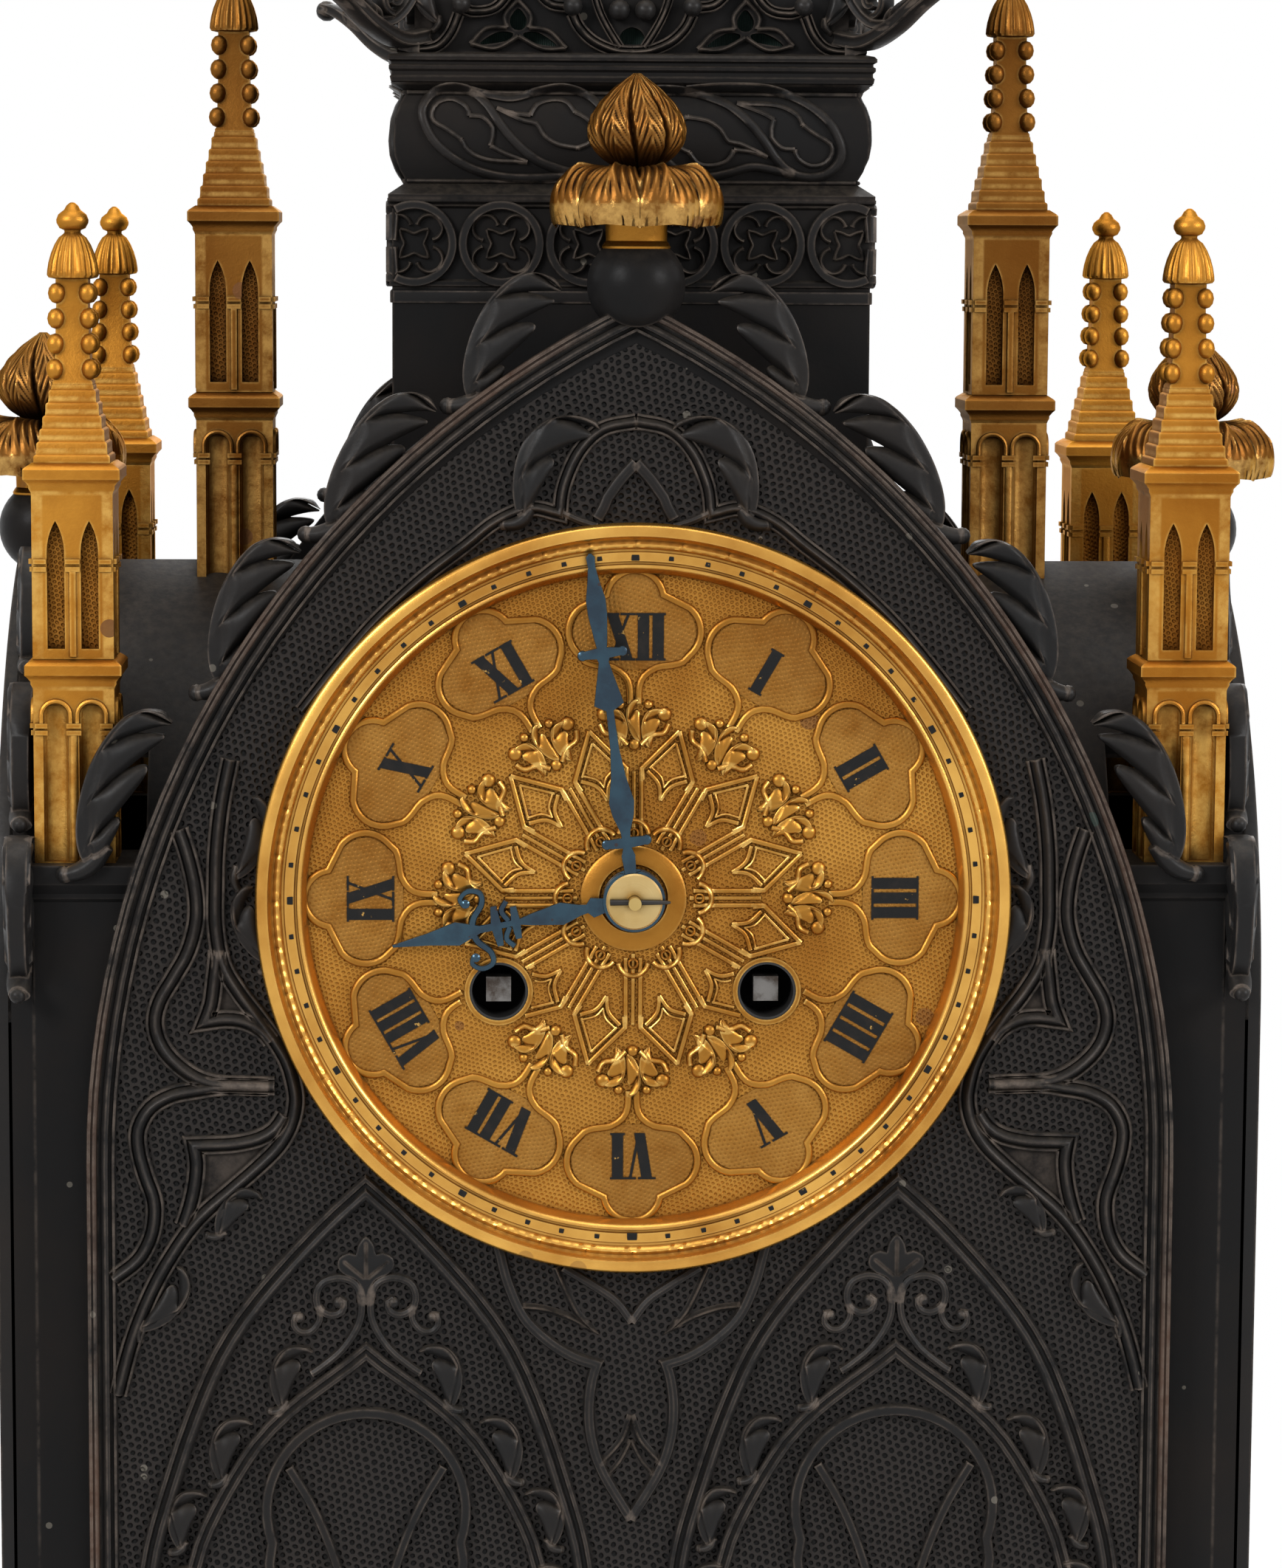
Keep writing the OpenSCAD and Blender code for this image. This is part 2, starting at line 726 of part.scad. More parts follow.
// Balls on the four gables, cut to sit over the gable point
module gable_tops(z_front, z_side) {
    for (s = [-1, 1]) {
        translate([0, s * (face_y - gable_t / 2), z_front]) children();
        translate([s * (side_x + gable_t / 2), 0, z_side]) children();
    }
}
ball_up = 2.3;
module gable_balls() {
    color(bronze) difference() {
        gable_tops(gable_top + ball_up, side_top + ball_up) sphere(ball_r);
        for (s = [-1, 1]) {
            scale([1, s, 1]) slab_y(-face_y - band_h, -gable_y) front_outline(0);
            rotate([0, 0, 90 * s]) slab_y(-side_x - gable_t - band_h, -side_x)
                side_outline(0);
        }
        nave_solid(0);
        side_solid(0);
    }
}
module gable_buds() {
    up = ball_up + ball_r - 1.2;
    color(gilt) difference() {
        gable_tops(gable_top + up, side_top + up) bud(bud_h, bud_r);
        gable_tops(gable_top + ball_up, side_top + ball_up) sphere(ball_r);
    }
}

// One pinnacle: two arcaded stages, a stepped pyramid, a beaded neck and a cap
steps = 5;
bead_rows = 4;
module niches(z, h, rise) {
    hw = pin_w * 0.17;
    for (s = [-1, 1])
        translate([s * pin_w * 0.21, 0, z]) slab_y(-pin_w, -pin_w / 2 + 0.5)
            arch(hw, rise, h);
}
module pinnacle_cornice(z) {
    c = pin_cornice;
    translate([0, 0, z]) moulded([[0, 0], [pin_out * 0.5, c * 0.2], [pin_out * 0.5, c * 0.4],
        [pin_out, c * 0.55], [pin_out, c * 0.8], [0, c]], pin_w / 2, pin_w / 2);
}
module pinnacle() {
    z1 = pin_low;
    z2 = z1 + pin_cornice;
    z3 = z2 + pin_up;
    z4 = z3 + pin_cornice;
    z5 = z4 + pin_step;
    z6 = z5 + pin_neck;
    neck = pin_w * 0.32;
    difference() {
        union() {
            translate([-pin_w / 2, -pin_w / 2, 0]) cube([pin_w, pin_w, z4]);
            pinnacle_cornice(z1);
            pinnacle_cornice(z3);
        }
        four_faces() {
            niches(3, pin_low - 10, 1.9);
            niches(z2 + 2, pin_up - 9, 4.6);
        }
    }
    for (i = [0:steps - 1])
        translate([0, 0, z4 + i * pin_step / steps]) linear_extrude(pin_step / steps)
            square(pin_w * (0.92 - 0.11 * i), center = true);
    translate([0, 0, z5]) linear_extrude(pin_neck) square(neck, center = true);
    for (i = [0:bead_rows - 1])
        corners(neck * (0.62 - 0.05 * i), neck * (0.62 - 0.05 * i))
            translate([0, 0, z5 + (i + 0.5) * pin_neck / bead_rows])
            sphere(0.95, $fn = 24);
    translate([0, 0, z6]) rotate_extrude() {
        intersection() {
            scale([1, 1.25]) circle(pin_w * 0.36);
            square([pin_w, pin_w]);
        }
        square([1.2, pin_cap - 1.5]);
        intersection() {
            translate([0, pin_cap - 1.5]) circle(1.5);
            square([3, pin_cap]);
        }
    }
}
module pinnacles() {
    color(gilt) {
        corners(pin_x, pier_y) translate([0, 0, pier_top]) pinnacle();
        difference() {
            for (s = [-1, 1])
                translate([s * ridge_x, 0, ridge_z - 4]) pinnacle();
            side_solid(0);
        }
    }
}

// Leaf crockets on the slopes of the gables
crocket_l = 24;
crocket_h = 9;
crocket_t = 5;
module crocket() {
    scale([crocket_l / 24, crocket_h / 9]) difference() {
        union() {
            polygon([[-8, -3], [-10, 1], [-9, 3.4], [-6, 6.2], [-2, 8], [3, 9], [7.4, 8.4],
                [10.2, 6.4], [11.2, 4], [10.4, 1.6], [8, 0], [8, -3]]);
            translate([-10.2, 2.4]) circle(2.6);
        }
        translate([-8.6, 4.8]) circle(1.3);
    }
}
module slope_crockets(hw, spring, rise, heights) {
    r = (hw * hw + rise * rise) / (2 * hw);
    for (h = heights)
        for (s = [-1, 1]) {
            a = asin(h * rise / r);
            translate([s * (hw - r + r * cos(a)), spring + r * sin(a)])
                rotate(-s * (90 - a)) scale([-s, 1]) crocket();
        }
}
front_steps = [0.417, 0.637, 0.804, 0.932];
side_steps = [0.24, 0.56, 0.84];
module crockets() {
    color(bronze) difference() {
        for (s = [-1, 1]) {
            translate([0, s * (face_y - gable_t / 2) + crocket_t / 2, 0])
                rotate([90, 0, 0]) linear_extrude(crocket_t)
                slope_crockets(gable_hw, gable_spring, gable_rise, front_steps);
            rotate([0, 0, 90 * s]) translate([0, -side_x - gable_t / 2 + crocket_t / 2, 0])
                rotate([90, 0, 0]) linear_extrude(crocket_t)
                slope_crockets(side_hw, side_spring, side_rise, side_steps);
        }
        for (s = [-1, 1]) {
            scale([1, s, 1]) slab_y(-face_y - 5, -gable_y) front_outline(0);
            rotate([0, 0, 90 * s]) slab_y(-side_x - gable_t - 5, -side_x + 1) side_outline(0);
        }
        nave_solid(0);
        side_solid(0);
        corners(pier_x, pier_y)
            post(pier_w / 2 + capital_out, base_h, gable_top);
        gable_tops(gable_top + ball_up, side_top + ball_up) sphere(ball_r + slit);
    }
}

// Bezel: rim, sunk minute track and sleeve through the case
module dial_bezel() {
    color(gilt) difference() {
        at(centre_p) {
            bar_y(bezel_r - 0.8, bezel_y, bezel_y + 1);
            bar_y(bezel_r, bezel_y + 1, -face_y);
            bar_y(opening_r - slit, -face_y - eps, sleeve_back);
        }
        at(centre_p) {
            bar_y(lip_r, bezel_y - 1, dial_y + eps);
            bar_y(dial_seat_r, dial_y, sleeve_back + 1);
            bar_y(track_r, bezel_y - 1, bezel_y + track_deep);
        }
    }
}
module dial_plate() {
    color(gilt) difference() {
        at(centre_p) {
            bar_y(dial_seat_r - run, dial_y, dial_back);
            difference() {
                bar_ring(12, 3.6, dial_y - 0.6, dial_y + eps);
                bar_y(5.6, dial_y - 1, dial_y);
            }
            for (a = dial_foot_angles)
                translate([dial_foot_at * cos(a), 0, dial_foot_at * sin(a)])
                    bar_y(dial_foot_r, dial_back - eps, front_in);
        }
        at(centre_p) bar_y(hour_pipe_r + 0.4, dial_y - 5, dial_back + 1);
        for (p = [going_p, strike_p])
            at(p) bar_y(wind_hole_r, dial_y - 5, dial_back + 1);
    }
}

// Closes a half outline with its mirror image
function both(half) = concat(half, [for (i = [len(half) - 1:-1:0]) [-half[i][0], half[i][1]]]);

// Hands, drawn pointing up from the arbor
module minute_shape() {
    circle(hub_r);
    polygon(both([[0.9, 4.4], [1.1, 7.2], [0.7, 8.4], [2.9, 8.6], [3, 10],
        [0.7, 10.1], [0.8, 11], [2, 15.7], [1.2, 19.5], [0.7, 24], [0.6, 30], [2.35, 31],
        [0.8, 37.6], [1, 38.2], [3.2, 38.4], [3.2, 39.6], [0.8, 39.9], [1, 41], [1.55, 47.4],
        [0.6, 52.5], [0.7, 54], [0.2, 54.6]]));
}
module hook() {
    difference() {
        circle(2.9);
        circle(1.9);
        translate([-4, -4]) square([4, 4]);
    }
}
module hour_shape() {
    circle(hub_r);
    polygon(both([[1.1, 4.4], [1.6, 6.6], [0.7, 7.4], [0.9, 8.6], [1.8, 11.4],
        [0.9, 16.4], [0.5, 18], [2.6, 18.2], [2.6, 19.2], [0.5, 19.4], [0.5, 21],
        [3.2, 21.2], [3.2, 22.2], [0.6, 22.6], [0.6, 24.4], [1.9, 28], [1, 32.5], [0.2, 38.3]]));
    for (s = [0, 1])
        mirror([s, 0]) translate([3, 24.6]) rotate(-20) hook();
}
module minute_hand() {
    color(blued) at(centre_p) difference() {
        slab_y(minute_hand_y, minute_hand_y + hand_t) rotate(-minute_angle) minute_shape();
        bar_y(cannon_r, minute_hand_y - 1, minute_hand_y + 2);
    }
}
module hour_hand() {
    color(blued) at(centre_p) difference() {
        slab_y(hour_hand_y, hour_hand_y + hand_t) rotate(-hour_angle) hour_shape();
        bar_y(hour_pipe_r, hour_hand_y - 1, hour_hand_y + 2);
    }
}
module hand_washer() {
    color(brass) at(centre_p) difference() {
        bar_y(4.4, minute_hand_y - washer_t, minute_hand_y);
        bar_y(arbor_r + run, minute_hand_y - 2, minute_hand_y + 1);
    }
}
taper_r = 0.4;
taper_l = 9.4;
taper_y = minute_hand_y - washer_t - taper_r - run;
module hand_pin() {
    color(steel) at(centre_p) translate([-taper_l * 0.4, taper_y, 0]) rotate([0, 90, 0])
        cylinder(r = taper_r, h = taper_l);
}

// Gear outline with n teeth of module m, one tooth at the angle phase
function mesh(phase, n1, n2, a) = a + 180 + 180 / n2 - (phase - a) * n1 / n2;
module gear_shape(n, m, phase) {
    p = 360 / n;
    root = n * m / 2 - 1.1 * m;
    tip = n * m / 2 + 0.65 * m;
    polygon([for (i = [0:n - 1])
        for (c = [[root, -0.25], [tip, -0.1], [tip, 0.1], [root, 0.25]])
            polar(c[0], phase + (i + c[1]) * p)]);
}
module gear(n, m, phase, y, t) {
    slab_y(y, y + t) gear_shape(n, m, phase);
}
// A crossed-out train wheel
module wheel(n, m, phase, y, t) {
    rim = n * m / 2 - 1.1 * m - 1.3;
    difference() {
        gear(n, m, phase, y, t);
        for (a = [0:72:288])
            translate([polar(rim * 0.6, a)[0], 0, polar(rim * 0.6, a)[1]])
                bar_y(rim * 0.3, y - 1, y + t + 1);
    }
}
// An arbor between the plates with a pivot in each
module arbor(r) {
    bar_y(r, front_in + 0.2, back_in - 0.2);
    bar_y(pivot_r, front_y, back_y);
}
module pinion(n, m, phase, y, t) {
    gear(n, m, phase, y - pinion_extra, t + 2 * pinion_extra);
}

// Plates with pivot holes for every arbor
train = [second_p, third_p, escape_p, pin_p, warn_p, fly_p];
module plate_blank(y) {
    at(centre_p) bar_y(plate_r, y, y + plate_t);
}
module pivot_holes(y) {
    for (p = train)
        at(p) bar_y(pivot_r + run, y - 1, y + plate_t + 1);
    for (p = [going_p, strike_p])
        at(p) bar_y(wind_r + run, y - 1, y + plate_t + 1);
    for (p = [centre_p, anchor_p, strike2_p, hammer_p])
        at(p) bar_y(arbor_r + run, y - 1, y + plate_t + 1);
    for (a = pillar_angles)
        at(polar(pillar_at, a)) bar_y(1.2, y - 1, y + plate_t + 1);
}
module front_plate() {
    color(brass) {
        difference() {
            plate_blank(front_y);
            pivot_holes(front_y);
            for (a = dial_foot_angles)
                at(polar(dial_foot_at, a)) bar_y(dial_foot_r, front_y - 1, front_in + 1);
        }
        at(motion_p) bar_y(0.9, hour_y - 0.8, front_y + eps);
    }
}
module back_plate() {
    color(brass) difference() {
        plate_blank(back_in);
        pivot_holes(back_in);
    }
}
module plate_pillars() {
    color(brass) for (a = pillar_angles)
        at(polar(pillar_at, a)) {
            bar_y(pillar_r, front_in, back_in);
            bar_y(1.2, front_y - 0.8, back_y + 0.8);
        }
}
strap_w = 6;
strap_t = 1.6;
module movement_straps() {
    x = dial_seat_r - 0.1;
    color(brass) at(centre_p) for (s = [-1, 1])
        translate([s * (x - strap_t / 2) - strap_t / 2, -face_y + 6, -strap_w / 2])
            cube([strap_t, 2 * face_y - 12, strap_w]);
    color(brass) at(centre_p) for (s = [-1, 1])
        for (y = [front_y, back_in])
            translate([s > 0 ? plate_r - 1 : -x + 0.1, y + plate_t, -strap_w / 2])
                cube([x - plate_r + 0.9, 1.4, strap_w]);
}

// Motion work and hands' arbor
module cannon_pinion() {
    color(steel) at(centre_p) difference() {
        union() {
            bar_y(cannon_r, minute_hand_y, motion_y + wheel_t);
            pinion(cannon_n, motion_m, 0, motion_y, wheel_t);
        }
        bar_y(arbor_r + run, arbor_tip_y - 1, front_in);
    }
}
module minute_wheel() {
    phase = mesh(0, cannon_n, motion_n, bearing(centre_p, motion_p));
    color(brass) at(motion_p) difference() {
        union() {
            gear(motion_n, motion_m, phase, motion_y, wheel_t);
            gear(hour_pinion_n, hour_m, 0, hour_y - 0.4, motion_y - hour_y + 0.5);
        }
        bar_y(0.9 + run, hour_y - 1, front_y);
    }
}
module hour_wheel() {
    phase = mesh(0, hour_pinion_n, hour_n, bearing(motion_p, centre_p));
    color(brass) at(centre_p) difference() {
        union() {
            gear(hour_n, hour_m, phase, hour_y, wheel_t);
            bar_y(hour_pipe_r, hour_hand_y, hour_y + wheel_t);
        }
        bar_y(cannon_r + run, hour_hand_y - 1, hour_y + wheel_t + 1);
    }
}

// Going train
module centre_wheel() {
    phase = mesh(0, second_n, pinion_n, bearing(second_p, centre_p));
    color(brass) at(centre_p) difference() {
        union() {
            wheel(centre_n, centre_m, 0, centre_y, wheel_t);
            pinion(pinion_n, second_m, phase, second_y, wheel_t);
            bar_y(arbor_r, arbor_tip_y, back_y);
        }
        translate([-5, taper_y, 0]) rotate([0, 90, 0]) cylinder(r = taper_r + 0.02, h = 10);
    }
}
module barrel() {
    difference() {
        union() {
            bar_y(drum_r, drum_front, drum_back);
            gear(barrel_n, barrel_m, 0, drum_back - eps, barrel_t);
        }
        bar_y(drum_r - drum_wall, drum_front + drum_wall, drum_back - drum_wall);
        bar_y(wind_r + run, drum_front - 1, drum_back + barrel_t + 1);
    }
}
module winding_arbor() {
    bar_y(wind_r, front_y - 1.2, back_y);
    bar_y(drum_r * 0.35, drum_front + drum_wall + 0.4, drum_back - drum_wall - 0.4);
    gear(24, 0.42, 0, front_y - 1.6, 1.4);
    translate([-wind_square / 2, dial_back + 0.6, -wind_square / 2])
        cube([wind_square, front_y - dial_back - 1, wind_square]);
}
module going_barrel() {
    color(brass) at(going_p) barrel();
}
module strike_barrel() {
    color(brass) at(strike_p) barrel();
}
module going_arbor() {
    color(steel) at(going_p) winding_arbor();
}
module strike_arbor() {
    color(steel) at(strike_p) winding_arbor();
}
module second_wheel() {
    phase = mesh(0, barrel_n, pinion_n, bearing(going_p, second_p));
    color(brass) at(second_p) {
        wheel(second_n, second_m, 0, second_y, wheel_t);
        pinion(pinion_n, barrel_m, phase, drum_back, barrel_t);
        arbor(arbor_r);
    }
}
module third_wheel() {
    phase = mesh(0, centre_n, fine_n, bearing(centre_p, third_p));
    color(brass) at(third_p) {
        wheel(third_n, third_m, 0, third_y, wheel_t);
        pinion(fine_n, centre_m, phase, centre_y, wheel_t);
        arbor(arbor_r * 0.6);
    }
}
module escape_wheel() {
    phase = mesh(0, third_n, fine_n, bearing(third_p, escape_p));
    p = 360 / escape_n;
    color(brass) at(escape_p) {
        difference() {
            slab_y(escape_y, escape_y + 1) polygon([for (i = [0:escape_n - 1])
                for (c = [[escape_r - 1.4, -0.2], [escape_r, 0.2], [escape_r, 0.28],
                    [escape_r - 1.4, 0.35]]) polar(c[0], (i + c[1]) * p)]);
            for (a = [0:90:270])
                translate([polar(3.8, a)[0], 0, polar(3.8, a)[1]])
                    bar_y(1.8, escape_y - 1, escape_y + 2);
        }
        pinion(fine_n, third_m, phase, third_y, wheel_t);
        arbor(arbor_r * 0.6);
    }
}
// Anchor with its pallets inside and the crutch behind the back plate
module anchor() {
    fork = rod_r + swing_clear;
    color(steel) at(anchor_p) {
        slab_y(escape_y - 0.2, escape_y + 1.2) union() {
            circle(2.2);
            polygon(both([[1.5, 1.2], [6.9, -3.2], [7.8, -5.7], [7.2, -6], [5.4, -2.6],
                [0.4, -1.4]]));
        }
        bar_y(arbor_r, front_y, crutch_y + 1);
        bar_y(2, crutch_y, crutch_y + 1);
        translate([-0.8, crutch_y, -crutch_l]) cube([1.6, 1, crutch_l]);
        translate([-fork - 1, crutch_y, -crutch_l]) cube([2 * fork + 2, 1, 1.6]);
        for (s = [-1, 1])
            translate([s * (fork + 0.5) - 0.5, crutch_y, -crutch_l])
                cube([1, rod_y - crutch_y + 2, 1.6]);
    }
}
module pendulum_rod() {
    bottom = pendulum_l + bob_r + 8;
    color(steel) at(pendulum_p) {
        bar_y(hinge_r, rod_y - 4, rod_y + 4);
        bar_y(2.2, rod_y - 2, rod_y + 2);
        translate([0, rod_y, -bottom]) cylinder(r = rod_r, h = bottom);
    }
}
module pendulum_bob() {
    r = (bob_r * bob_r + bob_t * bob_t / 4) / bob_t;
    color(brass) at(pendulum_p + [0, -pendulum_l]) translate([0, rod_y, 0]) difference() {
        rotate([90, 0, 0]) rotate_extrude() intersection() {
            translate([0, r - bob_t / 2]) circle(r, $fn = 180);
            translate([0, bob_t / 2 - r]) circle(r, $fn = 180);
            translate([0, -bob_t]) square([bob_r + 1, 2 * bob_t]);
        }
        translate([0, 0, -bob_r - 1]) cylinder(r = rod_r + run, h = 2 * bob_r + 2);
    }
}
module rating_nut() {
    color(brass) at(pendulum_p + [0, -pendulum_l - bob_r]) translate([0, rod_y, -4.2])
        difference() {
            cylinder(r = 3, h = 4);
            translate([0, 0, -1]) cylinder(r = rod_r + run, h = 6);
        }
}
module suspension_cock() {
    color(brass) at(pendulum_p) difference() {
        translate([-5, back_y, -3]) cube([10, rod_y - back_y + 4, 9]);
        translate([-6, rod_y - 2.2, -4]) cube([12, 4.4, 7.4]);
        bar_y(hinge_r + run, back_y + 1, rod_y + 5);
    }
}

// Strike train
module strike_wheel() {
    phase = mesh(0, barrel_n, pinion_n, bearing(strike_p, strike2_p));
    color(brass) at(strike2_p) {
        wheel(strike_n, strike_m, 0, strike_y, wheel_t);
        pinion(pinion_n, barrel_m, phase, drum_back, barrel_t);
        bar_y(arbor_r, front_y, back_y + 2.2);
    }
}
// Locking plate with a notch after each hour's blows
count_r = 12;
count_slots = [for (i = [0:11]) i * (i + 1) / 2 + i];
module count_wheel() {
    color(brass) at(strike2_p) difference() {
        bar_y(count_r, back_y + 0.8, back_y + 2);
        bar_y(arbor_r, back_y, back_y + 3);
        for (k = count_slots)
            rotate([0, k * 4, 0]) translate([count_r - 1.6, back_y, -0.4])
                cube([3, 3, 0.8]);
    }
}
lift_pins = 10;
module pin_wheel() {
    phase = mesh(0, strike_n, pin_pinion_n, bearing(strike2_p, pin_p));
    color(brass) at(pin_p) {
        wheel(pinwheel_n, pinwheel_m, 0, pin_y, wheel_t);
        pinion(pin_pinion_n, strike_m, phase, strike_y, wheel_t);
        arbor(arbor_r * 0.7);
        for (a = [0:360 / lift_pins:359])
            translate([polar(7.4, a)[0], 0, polar(7.4, a)[1]])
                bar_y(0.4, pin_y + wheel_t - eps, pin_y + wheel_t + 2.2);
    }
}
module warning_wheel() {
    phase = mesh(0, pinwheel_n, warn_pinion_n, bearing(pin_p, warn_p));
    color(brass) at(warn_p) {
        wheel(warn_n, warn_m, 0, warn_y, wheel_t);
        pinion(warn_pinion_n, pinwheel_m, phase, pin_y, wheel_t);
        arbor(arbor_r * 0.7);
    }
}
module fly() {
    phase = mesh(0, warn_n, fine_n, bearing(warn_p, fly_p));
    color(steel) at(fly_p) {
        pinion(fine_n, warn_m, phase, warn_y, wheel_t);
        arbor(arbor_r * 0.6);
        translate([-4, warn_y + 2.6, -0.4]) cube([8, 4.6, 0.8]);
    }
}
// Bell, seen from behind, on a stand screwed to the back plate
module bell() {
    r = (bell_r * bell_r + bell_h * bell_h) / (2 * bell_h);
    color(brass) at(centre_p) translate([0, bell_y + bell_h - r, 0]) rotate([-90, 0, 0])
        rotate_extrude() difference() {
            circle(r, $fn = 180);
            circle(r - bell_t, $fn = 180);
            translate([-2 * r, -2 * r]) square([2 * r, 4 * r]);
            translate([-1, -2 * r]) square([2 * r, 3 * r - bell_h]);
            square([1.6, 2 * r]);
        }
}
stand_p = [18, -18];
module bell_stand() {
    seat = bell_y + bell_h - bell_t - 0.2;
    turn = bell_y + 4;
    color(steel) at(centre_p) {
        translate([stand_p[0], 0, stand_p[1]]) bar_y(2, back_y, turn);
        translate([0, turn, 0]) rotate([90, 45, 0])
            translate([0, -2, 0]) cube([norm(stand_p), 4, 2]);
        bar_y(3, turn - 2, seat);
        bar_y(1.5, seat - 1, seat + 7);
        translate([0, bell_y + bell_h + 2.6, 0]) rotate([90, 0, 0])
            cylinder(r = 3, h = 2.4, $fn = 6);
    }
}
// Hammer: tail between the plates, stem and head behind them
head_r = 3;
head_l = 10;
head_p = [-bell_r + 0.2, -9];
module hammer() {
    stem = [head_p[0] - head_l / 2 - 1, head_p[1]] - hammer_p;
    tail = pin_p + [-8.5, 0] - hammer_p;
    color(steel) at(hammer_p) {
        bar_y(arbor_r, front_y, hammer_y + 1.5);
        bar_y(1.8, hammer_y, hammer_y + 1.5);
        translate([0, hammer_y + 1.5, 0]) rotate([90, -atan2(stem[1], stem[0]), 0])
            translate([0, -0.6, 0]) cube([norm(stem), 1.2, 1.5]);
        translate([0, pin_y + wheel_t + 2, 0]) rotate([90, -atan2(tail[1], tail[0]), 0])
            translate([0, -0.6, 0]) cube([norm(tail), 1.2, 1.4]);
        bar_y(1.6, pin_y + wheel_t + 0.6, pin_y + wheel_t + 2);
        translate([head_p[0] - head_l - hammer_p[0], hammer_y + 0.75,
            head_p[1] - hammer_p[1]]) rotate([0, 90, 0]) cylinder(r = head_r, h = head_l);
    }
}

// Rear bezel with the fixed hinge knuckles
module rear_bezel() {
    color(brass) difference() {
        union() {
            at(centre_p) {
                bar_y(bezel_r, face_y, rear_face);
                bar_y(opening_r - slit, -sleeve_back, face_y + eps);
            }
            at([hinge_x, 0]) for (s = [-1, 1])
                translate([0, 0, s * (knuckle_h + slit)]) {
                    translate([0, hinge_y, -knuckle_h / 4])
                        cylinder(r = knuckle_r, h = knuckle_h / 2);
                    translate([0, face_y + 0.4, -knuckle_h / 4])
                        cube([knuckle_r + 3, rear_face - face_y - 0.4, knuckle_h / 2]);
                    translate([-knuckle_r, face_y + 0.4, -knuckle_h / 4])
                        cube([knuckle_r, hinge_y - face_y - 0.4, knuckle_h / 2]);
                }
        }
        at(centre_p) bar_y(dial_seat_r, 0, rear_face + 1);
        translate([hinge_x, hinge_y, dial_z - 20]) cylinder(r = hinge_r + run, h = 40);
    }
}
module rear_door() {
    color(brass) difference() {
        union() {
            at(centre_p) bar_y(door_r, door_y, door_y + door_t);
            at([hinge_x, 0]) {
                translate([0, door_y, -knuckle_h / 2])
                    cube([-hinge_x - door_r + 4, door_t, knuckle_h]);
                translate([0, hinge_y, -knuckle_h / 2]) cylinder(r = knuckle_r, h = knuckle_h);
            }
        }
        translate([hinge_x, hinge_y, dial_z - 20]) cylinder(r = hinge_r + run, h = 40);
        for (r = [14:9:41])
            for (a = [0:360 / r:359])
                at(polar(r, a)) bar_y(2.2, door_y - 1, door_y + door_t + 1);
        at([door_r - 6, 0]) bar_y(1.2, door_y - 1, door_y + door_t + 1);
    }
}
module door_pin() {
    l = 3 * knuckle_h + 1;
    color(steel) translate([hinge_x, hinge_y, dial_z - l / 2]) cylinder(r = hinge_r, h = l);
}
module door_knob() {
    color(brass) at([door_r - 6, 0]) {
        bar_y(1.2, door_y, door_y + door_t + 1);
        bar_y(2.4, door_y + door_t, door_y + door_t + 1.2);
        translate([0, door_y + door_t + 2.4, 0]) sphere(2);
    }
}

base_plinth();
base_cover();
feet();
corner_piers();
front_facade();
back_facade();
side_gables();
nave_roof();
side_roofs();
tower_shaft();
tower_frieze();
scroll_band();
crown_gallery();
crown_cloth();
crown_brackets();
spire();
spire_finial();
gable_balls();
gable_buds();
pinnacles();
crockets();
case_screws();
dial_bezel();
dial_plate();
front_plate();
back_plate();
plate_pillars();
movement_straps();
rear_bezel();
rear_door();
door_pin();
door_knob();
suspension_cock();
bell();
bell_stand();
minute_hand();
hand_washer();
hand_pin();
cannon_pinion();
centre_wheel();
minute_wheel();
hour_wheel();
hour_hand();
going_barrel();
going_arbor();
second_wheel();
third_wheel();
escape_wheel();
anchor();
pendulum_rod();
pendulum_bob();
rating_nut();
strike_barrel();
strike_arbor();
strike_wheel();
count_wheel();
pin_wheel();
warning_wheel();
fly();
hammer();
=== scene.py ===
# Cathedral clock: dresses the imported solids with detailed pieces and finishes
# Lengths are in mm; lamps, floor and shader nodes use metres
import math
import random
import bpy
import bmesh
from mathutils import Matrix, Vector


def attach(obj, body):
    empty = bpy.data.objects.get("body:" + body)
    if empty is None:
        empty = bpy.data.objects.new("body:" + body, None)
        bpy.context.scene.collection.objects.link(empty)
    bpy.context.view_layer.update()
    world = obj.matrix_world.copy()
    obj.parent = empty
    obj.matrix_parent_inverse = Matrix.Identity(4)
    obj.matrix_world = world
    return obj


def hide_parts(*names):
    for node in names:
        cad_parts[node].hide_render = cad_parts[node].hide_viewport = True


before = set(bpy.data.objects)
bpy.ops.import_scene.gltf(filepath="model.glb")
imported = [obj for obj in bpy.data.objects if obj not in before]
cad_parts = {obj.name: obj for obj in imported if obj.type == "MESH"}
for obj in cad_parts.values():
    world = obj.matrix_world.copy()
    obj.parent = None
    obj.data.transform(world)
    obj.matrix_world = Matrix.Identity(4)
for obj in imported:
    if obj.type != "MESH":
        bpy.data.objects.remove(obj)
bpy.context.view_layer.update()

mm = 0.001
random.seed(7)
tau = 2 * math.pi

# Height of the dial's middle, as in the solids
case = {"dialZ": 210.0}


# A shader node with its settings; inputs are values or sockets to link
def addNode(tree, kind, inputs=None, **settings):
    node = tree.nodes.new("ShaderNode" + kind)
    for name, value in settings.items():
        setattr(node, name, value)
    for name, value in (inputs or {}).items():
        if isinstance(value, bpy.types.NodeSocket):
            tree.links.new(value, node.inputs[name])
        else:
            node.inputs[name].default_value = value
    return node


def addMath(tree, operation, first, second=None, clamp=False):
    values = {0: first} if second is None else {0: first, 1: second}
    return addNode(tree, "Math", values, operation=operation, use_clamp=clamp).outputs[0]


def addNoise(tree, vector, scale, detail=4.0, rough=0.6):
    values = {"Detail": detail, "Roughness": rough, "Scale": scale, "Vector": vector}
    return addNode(tree, "TexNoise", values).outputs["Fac"]


